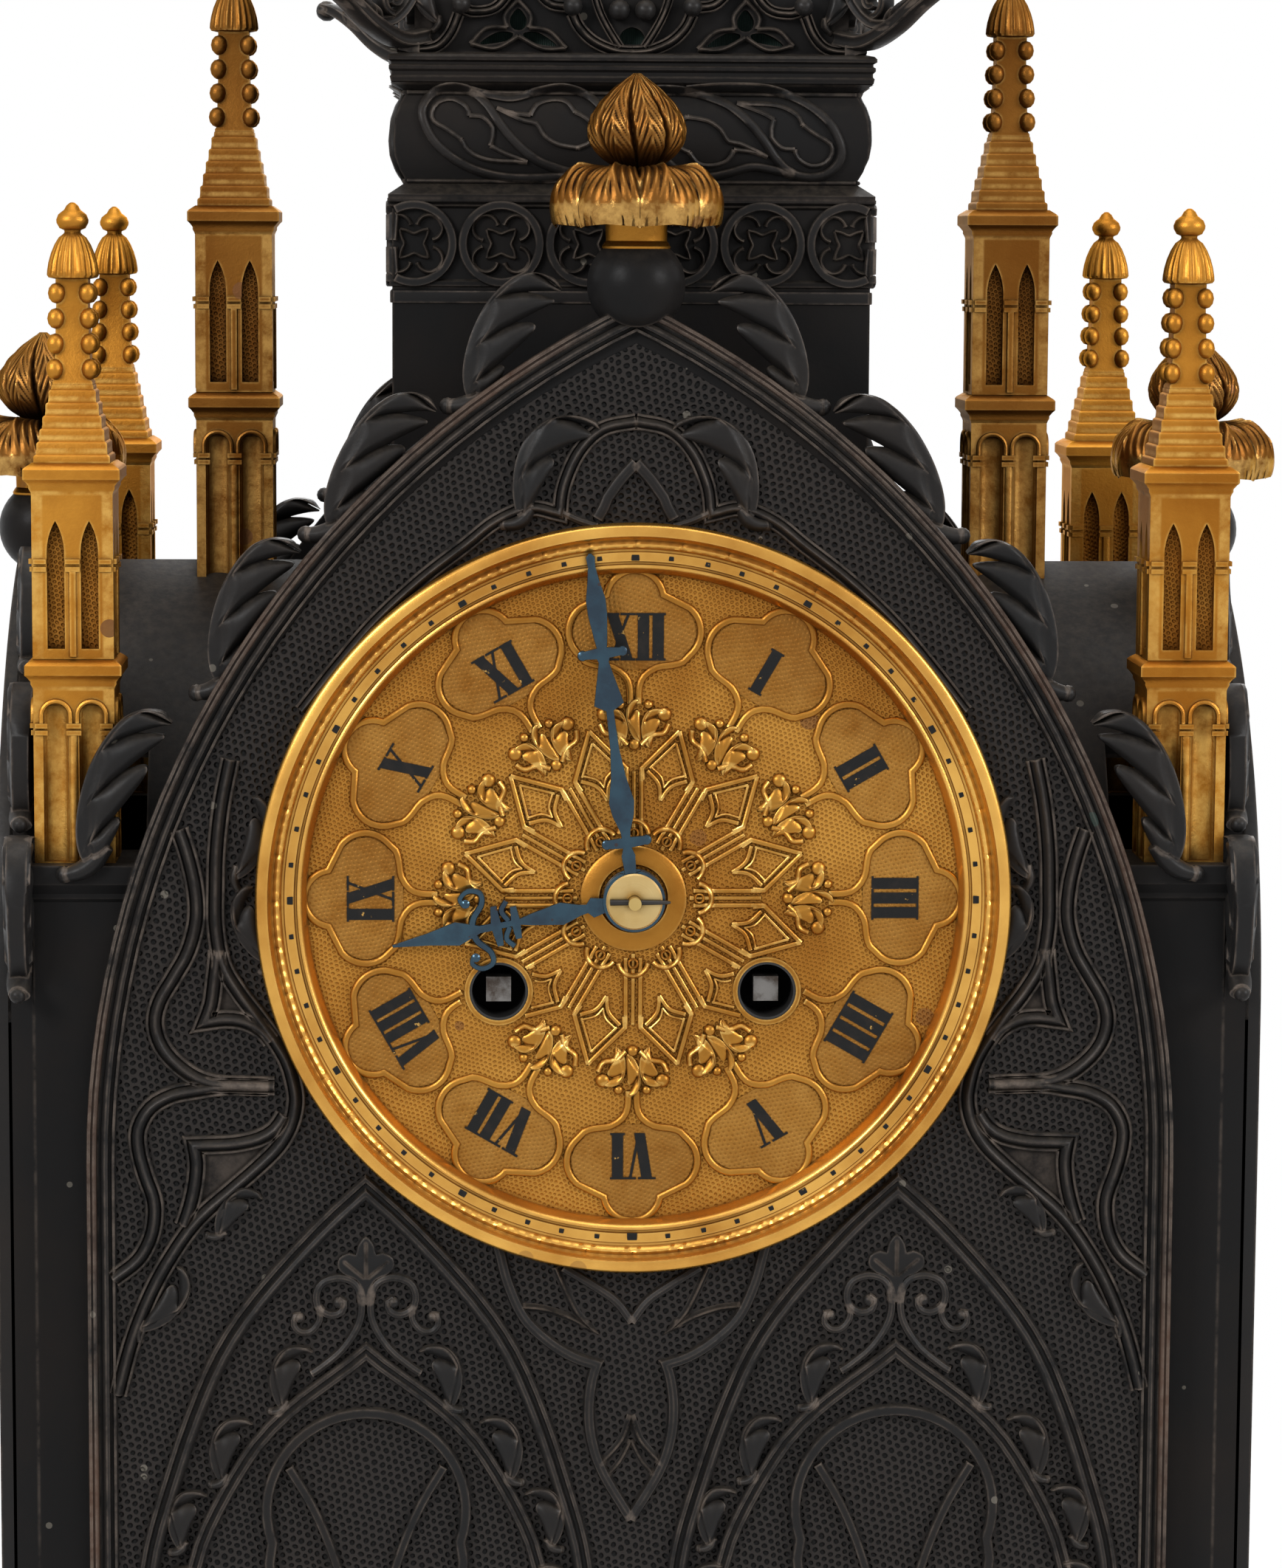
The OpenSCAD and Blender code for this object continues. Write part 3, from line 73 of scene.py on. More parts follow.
def addRange(tree, value, low, high, toLow=0.0, toHigh=1.0):
    values = {"Value": value, "From Min": low, "From Max": high, "To Min": toLow, "To Max": toHigh}
    return addNode(tree, "MapRange", values).outputs[0]


def objectPlace(tree):
    return addNode(tree, "TexCoord").outputs["Object"]


def addObject(name, data):
    item = bpy.data.objects.new(name, data)
    bpy.context.scene.collection.objects.link(item)
    return item


view = {"place": (-29.5, -756.5, 312.0), "pitch": 6.83, "yaw": 2.5, "roll": 0.3, "lens": 104.1}


def makeCamera():
    data = bpy.data.cameras.new("camera")
    data.sensor_width = 36
    data.lens = view["lens"]
    data.clip_end = 20
    camera = addObject("camera", data)
    turn = Matrix.Rotation(math.radians(-view["yaw"]), 4, "Z")
    turn = turn @ Matrix.Rotation(math.radians(90 - view["pitch"]), 4, "X")
    turn = turn @ Matrix.Rotation(math.radians(view["roll"]), 4, "Z")
    camera.matrix_world = Matrix.Translation(Vector(view["place"]) * mm) @ turn
    bpy.context.scene.camera = camera


# Places and sizes in metres, powers in watts
lamps = {
    "left": {"at": (-1.0, -1.1, 0.95), "size": 0.5, "power": 16.0},
    "right": {"at": (1.15, -0.75, 0.75), "size": 0.45, "power": 11.0},
    "top": {"at": (0.0, -0.15, 1.7), "size": 1.1, "power": 10.0},
    "back": {"at": (0.3, 1.3, 0.9), "size": 1.0, "power": 9.0},
}
surround = {"aim": (0, 0, 0.25), "colour": (0.97, 0.98, 1, 1), "strength": 0.42}


def makeLights():
    aim = Vector(surround["aim"])
    for name, lamp in lamps.items():
        data = bpy.data.lights.new("lamp-" + name, "AREA")
        data.size = lamp["size"]
        data.energy = lamp["power"]
        item = addObject("lamp-" + name, data)
        item.location = lamp["at"]
        item.rotation_euler = (aim - Vector(lamp["at"])).to_track_quat("-Z", "Y").to_euler()


# Soft light from all round, shown as plain white to the camera and in reflections
def makeWorld():
    world = bpy.data.worlds.new("studio")
    bpy.context.scene.world = world
    world.use_nodes = True
    tree = world.node_tree
    tree.nodes.clear()
    rays = addNode(tree, "LightPath").outputs
    shown = addMath(tree, "MAXIMUM", rays["Is Camera Ray"], rays["Is Glossy Ray"])
    shown = addMath(tree, "MAXIMUM", shown, rays["Is Transmission Ray"])
    soft = addNode(tree, "Background", {"Color": surround["colour"], "Strength": surround["strength"]})
    white = addNode(tree, "Background", {"Color": (1, 1, 1, 1)})
    mix = addNode(tree, "MixShader", {0: shown, 1: soft.outputs[0], 2: white.outputs[0]})
    addNode(tree, "OutputWorld", {0: mix.outputs[0]})
    bpy.context.scene.view_settings.view_transform = "Standard"


# Round floor, in metres
stage = {"radius": 0.48, "fadeFrom": 0.2, "colour": (0.93, 0.93, 0.93, 1)}


# Pale floor that keeps the shadow and fades out into the white surroundings
def makeFloor():
    bpy.ops.mesh.primitive_circle_add(vertices=96, radius=stage["radius"], fill_type="NGON",
        location=(0, 0, 0))
    floor = bpy.context.object
    floor.name = "floor"
    mat = bpy.data.materials.new("floor")
    mat.use_nodes = True
    tree = mat.node_tree
    shader = tree.nodes["Principled BSDF"]
    for label, value in (("Base Color", stage["colour"]), ("Roughness", 0.9), ("Specular IOR Level", 0.1)):
        shader.inputs[label].default_value = value
    length = addNode(tree, "VectorMath", {0: objectPlace(tree)}, operation="LENGTH")
    fade = addNode(tree, "MapRange", {"Value": length.outputs["Value"], "From Min": stage["fadeFrom"],
        "From Max": stage["radius"] - 0.01}, interpolation_type="SMOOTHSTEP")
    clear = addNode(tree, "BsdfTransparent")
    mix = addNode(tree, "MixShader", {0: fade.outputs[0], 1: shader.outputs[0], 2: clear.outputs[0]})
    tree.links.new(mix.outputs[0], tree.nodes["Material Output"].inputs["Surface"])
    floor.data.materials.append(mat)


makeCamera()
makeLights()
makeWorld()
makeFloor()
print("camera, lamps and floor")


# An empty group with number inputs and one number output
def makeGroup(name, inputs, output):
    group = bpy.data.node_groups.new(name, "ShaderNodeTree")
    for label, value in inputs.items():
        socket = group.interface.new_socket(label, in_out="INPUT", socket_type="NodeSocketFloat")
        socket.default_value = value
    group.interface.new_socket(output, in_out="OUTPUT", socket_type="NodeSocketFloat")
    start = group.nodes.new("NodeGroupInput").outputs
    end = group.nodes.new("NodeGroupOutput").inputs[output]
    return group, start, end


# Ends a mask group: two masks and the amount, multiplied
def endMask(group, first, second, amount, end):
    both = addMath(group, "MULTIPLY", first, second)
    group.links.new(addMath(group, "MULTIPLY", both, amount, True), end)
    return group


# Worn edges, found from inside the piece and broken up by noise; the same mask also places a painted
# highlight along edges
def wearAndHighlightGroup():
    group, start, end = makeGroup("edgeWear", {"Amount": 0.5, "Reach": 0.0006, "Sharpest": 0.62}, "Mask")
    edge = addNode(group, "AmbientOcclusion", {"Distance": start["Reach"]}, inside=True, only_local=True,
        samples=5)
    near = addRange(group, edge.outputs["AO"], 0.96, start["Sharpest"])
    patch = addRange(group, addNoise(group, objectPlace(group), 240, 7, 0.7), 0.36, 0.6)
    return endMask(group, near, patch, start["Amount"], end)


# Dirt and painted shade in hollows and corners, from ambient occlusion and from creases
def grimeAndShadeGroup():
    group, start, end = makeGroup("grime", {"Reach": 0.003, "Amount": 1.0, "Deepest": 0.42}, "Mask")
    hollow = addNode(group, "AmbientOcclusion", {"Distance": start["Reach"]}, samples=6)
    deep = addRange(group, hollow.outputs["AO"], 0.95, 0.35)
    point = addNode(group, "NewGeometry").outputs["Pointiness"]
    creaseSoilAndShade = addRange(group, point, 0.497, start["Deepest"])
    patch = addRange(group, addNoise(group, objectPlace(group), 160, 5), 0.25, 0.6, 0.55, 1.0)
    return endMask(group, addMath(group, "MAXIMUM", deep, creaseSoilAndShade), patch, start["Amount"], end)


# Dust that settles on surfaces that face up, which also stands for a painted top light on ledges
def dustAndTopLightGroup():
    group, start, end = makeGroup("settled", {"Amount": 0.5}, "Mask")
    split = addNode(group, "SeparateXYZ", {0: addNode(group, "NewGeometry").outputs["Normal"]})
    up = addRange(group, split.outputs["Z"], 0.25, 0.9)
    patch = addRange(group, addNoise(group, objectPlace(group), 600, 6, 0.7), 0.4, 0.7, 0.2, 1.0)
    return endMask(group, up, patch, start["Amount"], end)


# Scattered specks: a small round spot in some of the cells
def speckGroup():
    group, start, end = makeGroup("specks", {"Scale": 300.0, "Size": 0.12, "Share": 0.1}, "Mask")
    cell = addNode(group, "TexVoronoi", {"Vector": objectPlace(group), "Scale": start["Scale"]})
    spot = addMath(group, "LESS_THAN", cell.outputs["Distance"], start["Size"])
    split = addNode(group, "SeparateColor", {0: cell.outputs["Color"]})
    pick = addMath(group, "LESS_THAN", split.outputs[0], start["Share"])
    group.links.new(addMath(group, "MULTIPLY", spot, pick), end)
    return group


# Punched ground: round dimples in loose rows on the flat map of the piece; 0 in a dimple, 1 between
def punchGroup():
    group, start, end = makeGroup("punched", {"Spacing": 0.0013, "Looseness": 0.0009}, "Height")
    flat = addNode(group, "UVMap", uv_map="flat").outputs[0]
    noise = addNode(group, "TexNoise", {"Scale": 240, "Detail": 1.5, "Vector": flat})
    stray = addNode(group, "VectorMath", {0: noise.outputs["Color"], 1: (0.5, 0.5, 0.5)},
        operation="SUBTRACT")
    size = addNode(group, "VectorMath", {0: stray.outputs[0], "Scale": start["Looseness"]}, operation="SCALE")
    spot = addNode(group, "VectorMath", {0: flat, 1: size.outputs[0]})
    total = None
    for angle in (10, 70, 130):
        a = math.radians(angle)
        along = (7.255 * math.cos(a), 7.255 * math.sin(a), 0)
        wave = addNode(group, "VectorMath", {0: spot.outputs[0], 1: along}, operation="DOT_PRODUCT")
        turn = addMath(group, "COSINE", addMath(group, "DIVIDE", wave.outputs["Value"], start["Spacing"]))
        total = turn if total is None else addMath(group, "ADD", total, turn)
    group.links.new(addRange(group, total, 2.1, -0.2), end)
    return group


# Fine turned lines round an axis along Y through the dial's middle
def turnedGroup():
    group, start, end = makeGroup("turned", {"Scale": 2600.0}, "Height")
    move = addNode(group, "VectorMath", {0: objectPlace(group), 1: (1, 0, 1), 2: (0, 0, -case["dialZ"] * mm)},
        operation="MULTIPLY_ADD")
    length = addNode(group, "VectorMath", {0: move.outputs[0]}, operation="LENGTH")
    rings = addMath(group, "MULTIPLY", length.outputs["Value"], start["Scale"])
    line = addNode(group, "TexNoise", noise_dimensions="1D")
    for label, value in (("Scale", 1), ("Detail", 3)):
        line.inputs[label].default_value = value
    group.links.new(rings, line.inputs["W"])
    group.links.new(line.outputs["Fac"], end)
    return group


groups = {
    "wear": wearAndHighlightGroup(), "grime": grimeAndShadeGroup(), "specks": speckGroup(),
    "punched": punchGroup(), "turned": turnedGroup(), "settled": dustAndTopLightGroup(),
}


def scaled(colour, factor):
    return tuple(factor * c for c in colour)


class Finish:
    def __init__(self, name, metallic, roughness):
        self.mat = bpy.data.materials.new(name)
        self.mat.use_nodes = True
        self.tree = self.mat.node_tree
        self.shader = self.tree.nodes["Principled BSDF"]
        self.shader.inputs["Metallic"].default_value = metallic
        self.shader.inputs["Roughness"].default_value = roughness
        self.place = objectPlace(self.tree)
        self.height = None

    def group(self, name, output, **values):
        node = self.tree.nodes.new("ShaderNodeGroup")
        node.node_tree = groups[name]
        for label, value in values.items():
            node.inputs[label].default_value = value
        return node.outputs[output]

    def noise(self, scale, low, high, detail=4.0):
        return addRange(self.tree, addNoise(self.tree, self.place, scale, detail), low, high)

    def blend(self, mask, first, second, share=None):
        if share is not None:
            mask = addMath(self.tree, "MULTIPLY", mask, share)
        colours = [(*value, 1) if isinstance(value, tuple) else value for value in (first, second)]
        node = addNode(self.tree, "Mix", data_type="RGBA")
        self.tree.links.new(mask, node.inputs[0])
        for socket, value in zip((node.inputs[6], node.inputs[7]), colours):
            if isinstance(value, tuple):
                socket.default_value = value
            else:
                self.tree.links.new(value, socket)
        return node.outputs[2]

    def bump(self, height, strength, distance):
        node = addNode(self.tree, "Bump", {"Strength": strength, "Distance": distance, "Height": height})
        if self.height is not None:
            self.tree.links.new(self.height, node.inputs["Normal"])
        self.height = node.outputs[0]

    def finish(self, colour, roughness):
        links = self.tree.links
        links.new(colour, self.shader.inputs["Base Color"])
        links.new(roughness, self.shader.inputs["Roughness"])
        if self.height is not None:
            links.new(self.height, self.shader.inputs["Normal"])
        return self.mat


# Edge colour: worn edges together with a painted highlight; dust colour: dust, also used for a painted top
# light on up-facing ledges
bronzeLook = {
    "black": (0.0102, 0.0098, 0.0098), "brown": (0.0146, 0.012, 0.0106), "rubbed": (0.15, 0.118, 0.095),
    "dust": (0.07, 0.056, 0.042), "verdigris": (0.035, 0.06, 0.05), "speck": (0.3, 0.27, 0.22),
    "metallic": 0.05, "specular": 0.14, "strip": (0.085, 0.046, 0.03),
}


def bronzeFinish(name, wear=0.8, punched=0.0, dust=0.3, rough=0.4, strip=0.0, shine=1.0):
    look = bronzeLook
    m = Finish(name, look["metallic"], rough)
    m.shader.inputs["Specular IOR Level"].default_value = look["specular"] * shine
    colour = m.blend(m.noise(28, 0.42, 0.68, 8), look["black"], look["brown"])
    if punched:
        height = m.group("punched", "Height", Spacing=0.0013, Looseness=0.0012)
        m.bump(height, punched, 0.0008)
        # Lighter plateaus and near-black dimples: a painted light and shade on the punched ground
        colour = m.blend(addRange(m.tree, height, 0.7, 1.0, 0.0, 0.6), colour, scaled(look["brown"], 1.85))
        colour = m.blend(addRange(m.tree, height, 0.0, 0.7), scaled(look["black"], 0.15), colour)
    if strip:
        colour = m.blend(m.noise(22, 0.4, 0.6, 7), colour, look["strip"], strip)
    # Worn edges in a paler colour, also a painted highlight along the edges
    colour = m.blend(m.group("wear", "Mask", Amount=wear, Reach=0.0004), colour, look["rubbed"])
    grime = m.group("grime", "Mask", Reach=0.0035, Amount=1.0)
    fluff = addMath(m.tree, "MULTIPLY", grime, m.noise(420, 0.5, 0.72, 6))
    colour = m.blend(fluff, colour, look["dust"], dust)
    # Hollows and creases blackened: partly soil, partly painted shade
    colour = m.blend(grime, colour, scaled(look["black"], 0.3), 0.55)
    # Up-facing surfaces made paler: dust, partly a painted top light
    colour = m.blend(m.group("settled", "Mask", Amount=0.45), colour, look["dust"])
    specks = m.group("specks", "Mask", Scale=260.0, Size=0.16, Share=0.05)
    colour = m.blend(specks, colour, look["speck"], 0.3)
    green = m.group("specks", "Mask", Scale=70.0, Size=0.09, Share=0.03)
    colour = m.blend(green, colour, look["verdigris"], 0.5)
    fine = addNoise(m.tree, m.place, 900, 5, 0.7)
    m.bump(fine, 0.12, 0.0003)
    roughness = addMath(m.tree, "ADD", addRange(m.tree, fine, 0.3, 0.7, rough - 0.05, rough + 0.09),
        addMath(m.tree, "MULTIPLY", grime, 0.25), True)
    return m.finish(colour, roughness)


# The lightest gold paints worn, burnished edges together with a painted highlight; the blackest brown paints
# soil in hollows together with painted shade
giltLook = {
    "gold": (0.60, 0.335, 0.075), "bright": (0.80, 0.52, 0.16), "deep": (0.36, 0.165, 0.03),
    "dirt": (0.035, 0.017, 0.008), "stain": (0.16, 0.07, 0.03), "sheen": (0.8, 0.55, 0.3, 1), "metallic": 0.9,
}


def giltFinish(name, tone=(1.0, 1.0, 1.0), rough=0.4, dirt=1.0, reach=0.0022, bright=0.6, grain=0.25,
        spots=0.0, punched=0.0, carved=False):
    look = {key: tuple(c * t for c, t in zip(giltLook[key], tone)) for key in ("gold", "deep", "dirt")}
    look["bright"] = tuple(c * min(1.0, t ** 0.4) for c, t in zip(giltLook["bright"], tone))
    m = Finish(name, giltLook["metallic"], rough)
    m.shader.inputs["Specular Tint"].default_value = giltLook["sheen"]
    colour = m.blend(m.noise(45, 0.36, 0.66, 6), look["gold"], look["deep"])
    if punched:
        height = m.group("punched", "Height", Spacing=0.00078, Looseness=0.0012)
        m.bump(height, punched, 0.0003)
        # Dimples tinted deep gold: painted shade in the dimples
        colour = m.blend(addRange(m.tree, height, 0.0, 1.0, 0.35, 1.0), look["deep"], colour)
    # Worn edges and ridges in the lightest gold, also a painted highlight
    rubbed = m.group("wear", "Mask", Amount=bright, Reach=0.00032 if carved else 0.0004)
    colour = m.blend(rubbed, colour, look["bright"])
    # Hollows and creases browned: soil and painted shade
    grime = m.group("grime", "Mask", Reach=reach, Amount=dirt, Deepest=0.484 if carved else 0.42)
    colour = m.blend(grime, colour, look["dirt"])
    if spots:
        stain = m.group("specks", "Mask", Scale=110.0, Size=0.16, Share=0.16)
        colour = m.blend(stain, colour, giltLook["stain"], spots)
        colour = m.blend(m.noise(32, 0.52, 0.66, 8), colour, look["deep"], spots * 0.5)
    m.bump(addNoise(m.tree, m.place, 1700, 4, 0.75), grain, 0.0003)
    roughness = addRange(m.tree, grime, 0.0, 1.0, rough, 0.75)
    roughness = addMath(m.tree, "SUBTRACT", roughness, addMath(m.tree, "MULTIPLY", rubbed, 0.14), True)
    return m.finish(colour, roughness)


def brassFinish(name, colour, dull, rough=0.3, turned=True, metallic=1.0):
    m = Finish(name, metallic, rough)
    shade = m.blend(m.noise(30, 0.4, 0.66, 6), colour, dull)
    # Hollows toned down towards the dull colour: soil and painted shade
    grime = m.group("grime", "Mask", Reach=0.0015, Amount=0.6)
    shade = m.blend(grime, shade, scaled(dull, 0.3))
    line = m.group("turned", "Height", Scale=2600.0) if turned else addNoise(m.tree, m.place, 1500, 4, 0.7)
    m.bump(line, 0.1 if turned else 0.06, 0.0002)
    roughness = addRange(m.tree, addNoise(m.tree, m.place, 60, 5), 0.3, 0.7, rough - 0.07, rough + 0.12)
    return m.finish(shade, roughness)


# Winding square: pale at its end, painted black shade further down in the sleeve
def arborFinish():
    m = Finish("arborSteel", 0.9, 0.34)
    split = addNode(m.tree, "SeparateXYZ", {0: addNode(m.tree, "NewGeometry").outputs["Position"]})
    shade = m.blend(m.noise(400, 0.4, 0.62, 6), (0.2, 0.19, 0.18), (0.07, 0.055, 0.045))
    # Black further in along the arbor, down the hole: painted shade
    shade = m.blend(addRange(m.tree, split.outputs["Y"], -0.0525, -0.049), shade, (0.004, 0.004, 0.004))
    return m.finish(shade, m.noise(200, -1.6, 1.6))


def bluedFinish():
    m = Finish("bluedSteel", 0.85, 0.3)
    shade = m.blend(m.noise(160, 0.45, 0.62, 6), (0.036, 0.07, 0.098), (0.03, 0.048, 0.068))
    shade = m.blend(m.noise(70, 0.66, 0.74, 5), shade, (0.07, 0.045, 0.04))
    rust = m.group("specks", "Mask", Scale=700.0, Size=0.2, Share=0.12)
    shade = m.blend(rust, shade, (0.06, 0.03, 0.02), 0.6)
    m.bump(addNoise(m.tree, m.place, 2200, 4, 0.7), 0.08, 0.0002)
    return m.finish(shade, m.noise(300, 0.2, 1.6))


# Black paint of the numerals, chipped down to the gilding in places
def inkFinish():
    m = Finish("numeralInk", 0.0, 0.45)
    m.shader.inputs["Specular IOR Level"].default_value = 0.2
    shade = m.blend(m.noise(500, 0.5, 0.75, 6), (0.005, 0.005, 0.005), (0.014, 0.011, 0.009))
    chip = m.noise(650, 0.66, 0.69, 7)
    shade = m.blend(chip, shade, (0.42, 0.24, 0.06))
    m.bump(addNoise(m.tree, m.place, 1500, 4, 0.7), 0.15, 0.0002)
    return m.finish(shade, addRange(m.tree, chip, 0.0, 1.0, 0.42, 0.6))


def clothFinish():
    m = Finish("crownCloth", 0.0, 0.9)
    weave = addNode(m.tree, "TexWave", {"Scale": 900, "Vector": m.place}).outputs["Fac"]
    shade = m.blend(weave, (0.004, 0.012, 0.009), (0.012, 0.03, 0.022))
    m.bump(weave, 0.4, 0.0002)
    return m.finish(shade, m.noise(200, -1.0, 0.6))


# Settings of the finishes that come in several kinds
bronzes = {
    "bronze": {},
    "bronzePlain": {"wear": 0.3, "dust": 0.1, "rough": 0.36, "shine": 0.45},
    "bronzePunched": {"wear": 0.0, "punched": 0.9, "dust": 0.35},
    "bronzeStrip": {"wear": 1.2, "strip": 0.75},
}
gilts = {
    "gilt": {"tone": (0.74, 0.58, 0.34), "spots": 0.9, "bright": 0.7, "reach": 0.004},
    "giltPunched": {"tone": (0.74, 0.56, 0.36), "spots": 0.9, "bright": 0.1, "reach": 0.004, "punched": 0.9},
    "giltBrown": {"tone": (0.36, 0.27, 0.21), "spots": 0.8, "bright": 0.6, "reach": 0.003},
    "brownPunched": {"tone": (0.42, 0.3, 0.23), "spots": 0.7, "bright": 0.1, "reach": 0.003, "punched": 0.9},
    "giltBud": {"tone": (0.34, 0.26, 0.24), "rough": 0.3, "reach": 0.004, "bright": 1.1, "spots": 0.6,
        "carved": True},
    "giltCollar": {"tone": (0.8, 0.64, 0.4), "rough": 0.25, "spots": 0.6},
    "giltRim": {"tone": (1.2, 1.2, 1.2), "rough": 0.27, "dirt": 0.7, "reach": 0.001, "grain": 0.1,
        "spots": 0.4},
    "dialGround": {"tone": (0.74, 0.65, 0.54), "rough": 0.5, "dirt": 0.65, "reach": 0.001, "spots": 0.7,
        "punched": 0.8},
    "dialPlain": {"tone": (0.5, 0.42, 0.36), "rough": 0.5, "dirt": 0.6, "reach": 0.001, "bright": 0.12,
        "spots": 0.7, "punched": 0.3},
    "dialRelief": {"tone": (0.64, 0.53, 0.38), "rough": 0.36, "dirt": 0.9, "reach": 0.0005, "bright": 1.1,
        "grain": 0.15},
}
metals = {
    "brass": {"colour": (0.60, 0.44, 0.17), "dull": (0.42, 0.28, 0.09)},
    "washerBrass": {"colour": (0.66, 0.5, 0.24), "dull": (0.42, 0.28, 0.1), "rough": 0.38},
    "bellMetal": {"colour": (0.6, 0.49, 0.27), "dull": (0.45, 0.34, 0.15), "rough": 0.24},
    "steel": {"colour": (0.42, 0.41, 0.4), "dull": (0.24, 0.22, 0.21), "turned": False},
    "darkSteel": {"colour": (0.07, 0.065, 0.06), "dull": (0.03, 0.028, 0.027), "rough": 0.34,
        "turned": False},
    # Black of the tubes in the winding holes: painted shade
    "sleeveBlack": {"colour": (0.008, 0.007, 0.006), "dull": (0.004, 0.004, 0.004), "rough": 0.5,
        "turned": False, "metallic": 0.0},
}
looks = {"arborSteel": arborFinish(), "blued": bluedFinish(), "ink": inkFinish(), "cloth": clothFinish()}
for maker, kinds in ((bronzeFinish, bronzes), (giltFinish, gilts), (brassFinish, metals)):
    looks.update({name: maker(name, **values) for name, values in kinds.items()})
print("materials")


# Points, faces and flat places of a piece under construction; every part of it is drawn flat and then placed
class Shape:
    def __init__(self):
        self.points, self.faces, self.flat = [], [], []

    def add(self, points, faces, place):
        start = len(self.points)
        for p in points:
            self.flat.append((p[0], p[1]))
            self.points.append(place(*p))
        self.faces.extend([tuple(i + start for i in f) for f in faces])

    def merge(self, other, move):
        start = len(self.points)
        self.flat.extend(other.flat)
        self.points.extend([move(*p) for p in other.points])
        self.faces.extend([tuple(i + start for i in f) for f in other.faces])


# Maps a drawing (across, up, out) to a wall that faces -Y, turned about Z
def plane(angle, depth):
    c, s = math.cos(math.radians(angle)), math.sin(math.radians(angle))

    def place(u, v, h=0.0):
        y = -depth - h
        return (u * c - y * s, u * s + y * c, v)
    return place


def shifted(place, du, dv, flip=1):
    return lambda u, v, h=0.0: place(flip * u + du, v + dv, h)


def rotated(place, angle, du=0.0, dv=0.0):
    c, s = math.cos(math.radians(angle)), math.sin(math.radians(angle))
    return lambda u, v, h=0.0: place(u * c - v * s + du, u * s + v * c + dv, h)


# Makes a piece of the shape, gives it its look in a material slot and its body, and hides the solids that it
# stands for
def makePiece(name, shape, look, body="case", replaces=(), bevel=0.0, smooth=35):
    mesh = bpy.data.meshes.new(name)
    mesh.from_pydata([(x * mm, y * mm, z * mm) for x, y, z in shape.points], [], shape.faces)
    layer = mesh.uv_layers.new(name="flat")
    for loop in mesh.loops:
        u, v = shape.flat[loop.vertex_index]
        layer.data[loop.index].uv = (u * mm, v * mm)
    work = bmesh.new()
    work.from_mesh(mesh)
    bmesh.ops.recalc_face_normals(work, faces=work.faces)
    work.to_mesh(mesh)
    work.free()
    mesh.shade_smooth()
    mesh.set_sharp_from_angle(angle=math.radians(smooth))
    item = addObject(name, mesh)
    mesh.materials.append(looks[look])
    if bevel:
        mod = item.modifiers.new("softEdges", "BEVEL")
        mod.width = bevel * mm
        mod.segments = 2
        mod.limit_method = "ANGLE"
        mod.angle_limit = math.radians(40)
    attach(item, body)
    if replaces:
        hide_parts(*replaces)
    return item


# A smooth line through the given points, closed if wanted
def smoothLine(points, step=1.0, closed=False):
    count = len(points)
    if count < 3:
        return [tuple(p) for p in points]
    line = []
    spans = count if closed else count - 1
    for i in range(spans):
        p1, p2 = points[i], points[(i + 1) % count]
        p0 = points[i - 1] if closed or i > 0 else (2 * p1[0] - p2[0], 2 * p1[1] - p2[1])
        p3 = points[(i + 2) % count] if closed or i < spans - 1 else (2 * p2[0] - p1[0], 2 * p2[1] - p1[1])
        parts = max(1, int(math.dist(p1, p2) / step))
        for k in range(parts):
            t = k / parts
            line.append(tuple(0.5 * (2 * p1[j] + (p2[j] - p0[j]) * t
                + (2 * p0[j] - 5 * p1[j] + 4 * p2[j] - p3[j]) * t * t
                + (3 * p1[j] - p0[j] - 3 * p2[j] + p3[j]) * t ** 3) for j in (0, 1)))
    if not closed:
        line.append(tuple(points[-1]))
    return line


# Several smooth lines joined at corners
def joinLines(*parts, step=1.0):
    line = []
    for part in parts:
        piece = smoothLine(part, step)
        line.extend(piece if not line else piece[1:])
    return line


profiles = {
    "round": [(-0.5, -0.3), (-0.5, 0.25), (-0.36, 0.78), (0, 1), (0.36, 0.78), (0.5, 0.25), (0.5, -0.3)],
    "flat": [(-0.5, -0.3), (-0.5, 0.8), (-0.38, 1), (0.38, 1), (0.5, 0.8), (0.5, -0.3)],
    "grooved": [(-0.5, -0.3), (-0.5, 0.4), (-0.43, 0.55), (-0.35, 0.55), (-0.29, 0.28), (-0.2, 0.5),
        (-0.1, 0.92), (0, 1), (0.1, 0.92), (0.2, 0.5), (0.29, 0.28), (0.35, 0.55), (0.43, 0.55), (0.5, 0.4),
        (0.5, -0.3)],
    "twin": [(-0.5, -0.3), (-0.5, 0.75), (-0.4, 1), (-0.22, 1), (-0.1, 0.35), (0.1, 0.35), (0.22, 1),
        (0.4, 1), (0.5, 0.75), (0.5, -0.3)],
    "ridge": [(-0.5, -0.3), (-0.5, 0.15), (-0.2, 0.5), (0, 1), (0.2, 0.5), (0.5, 0.15), (0.5, -0.3)],
}


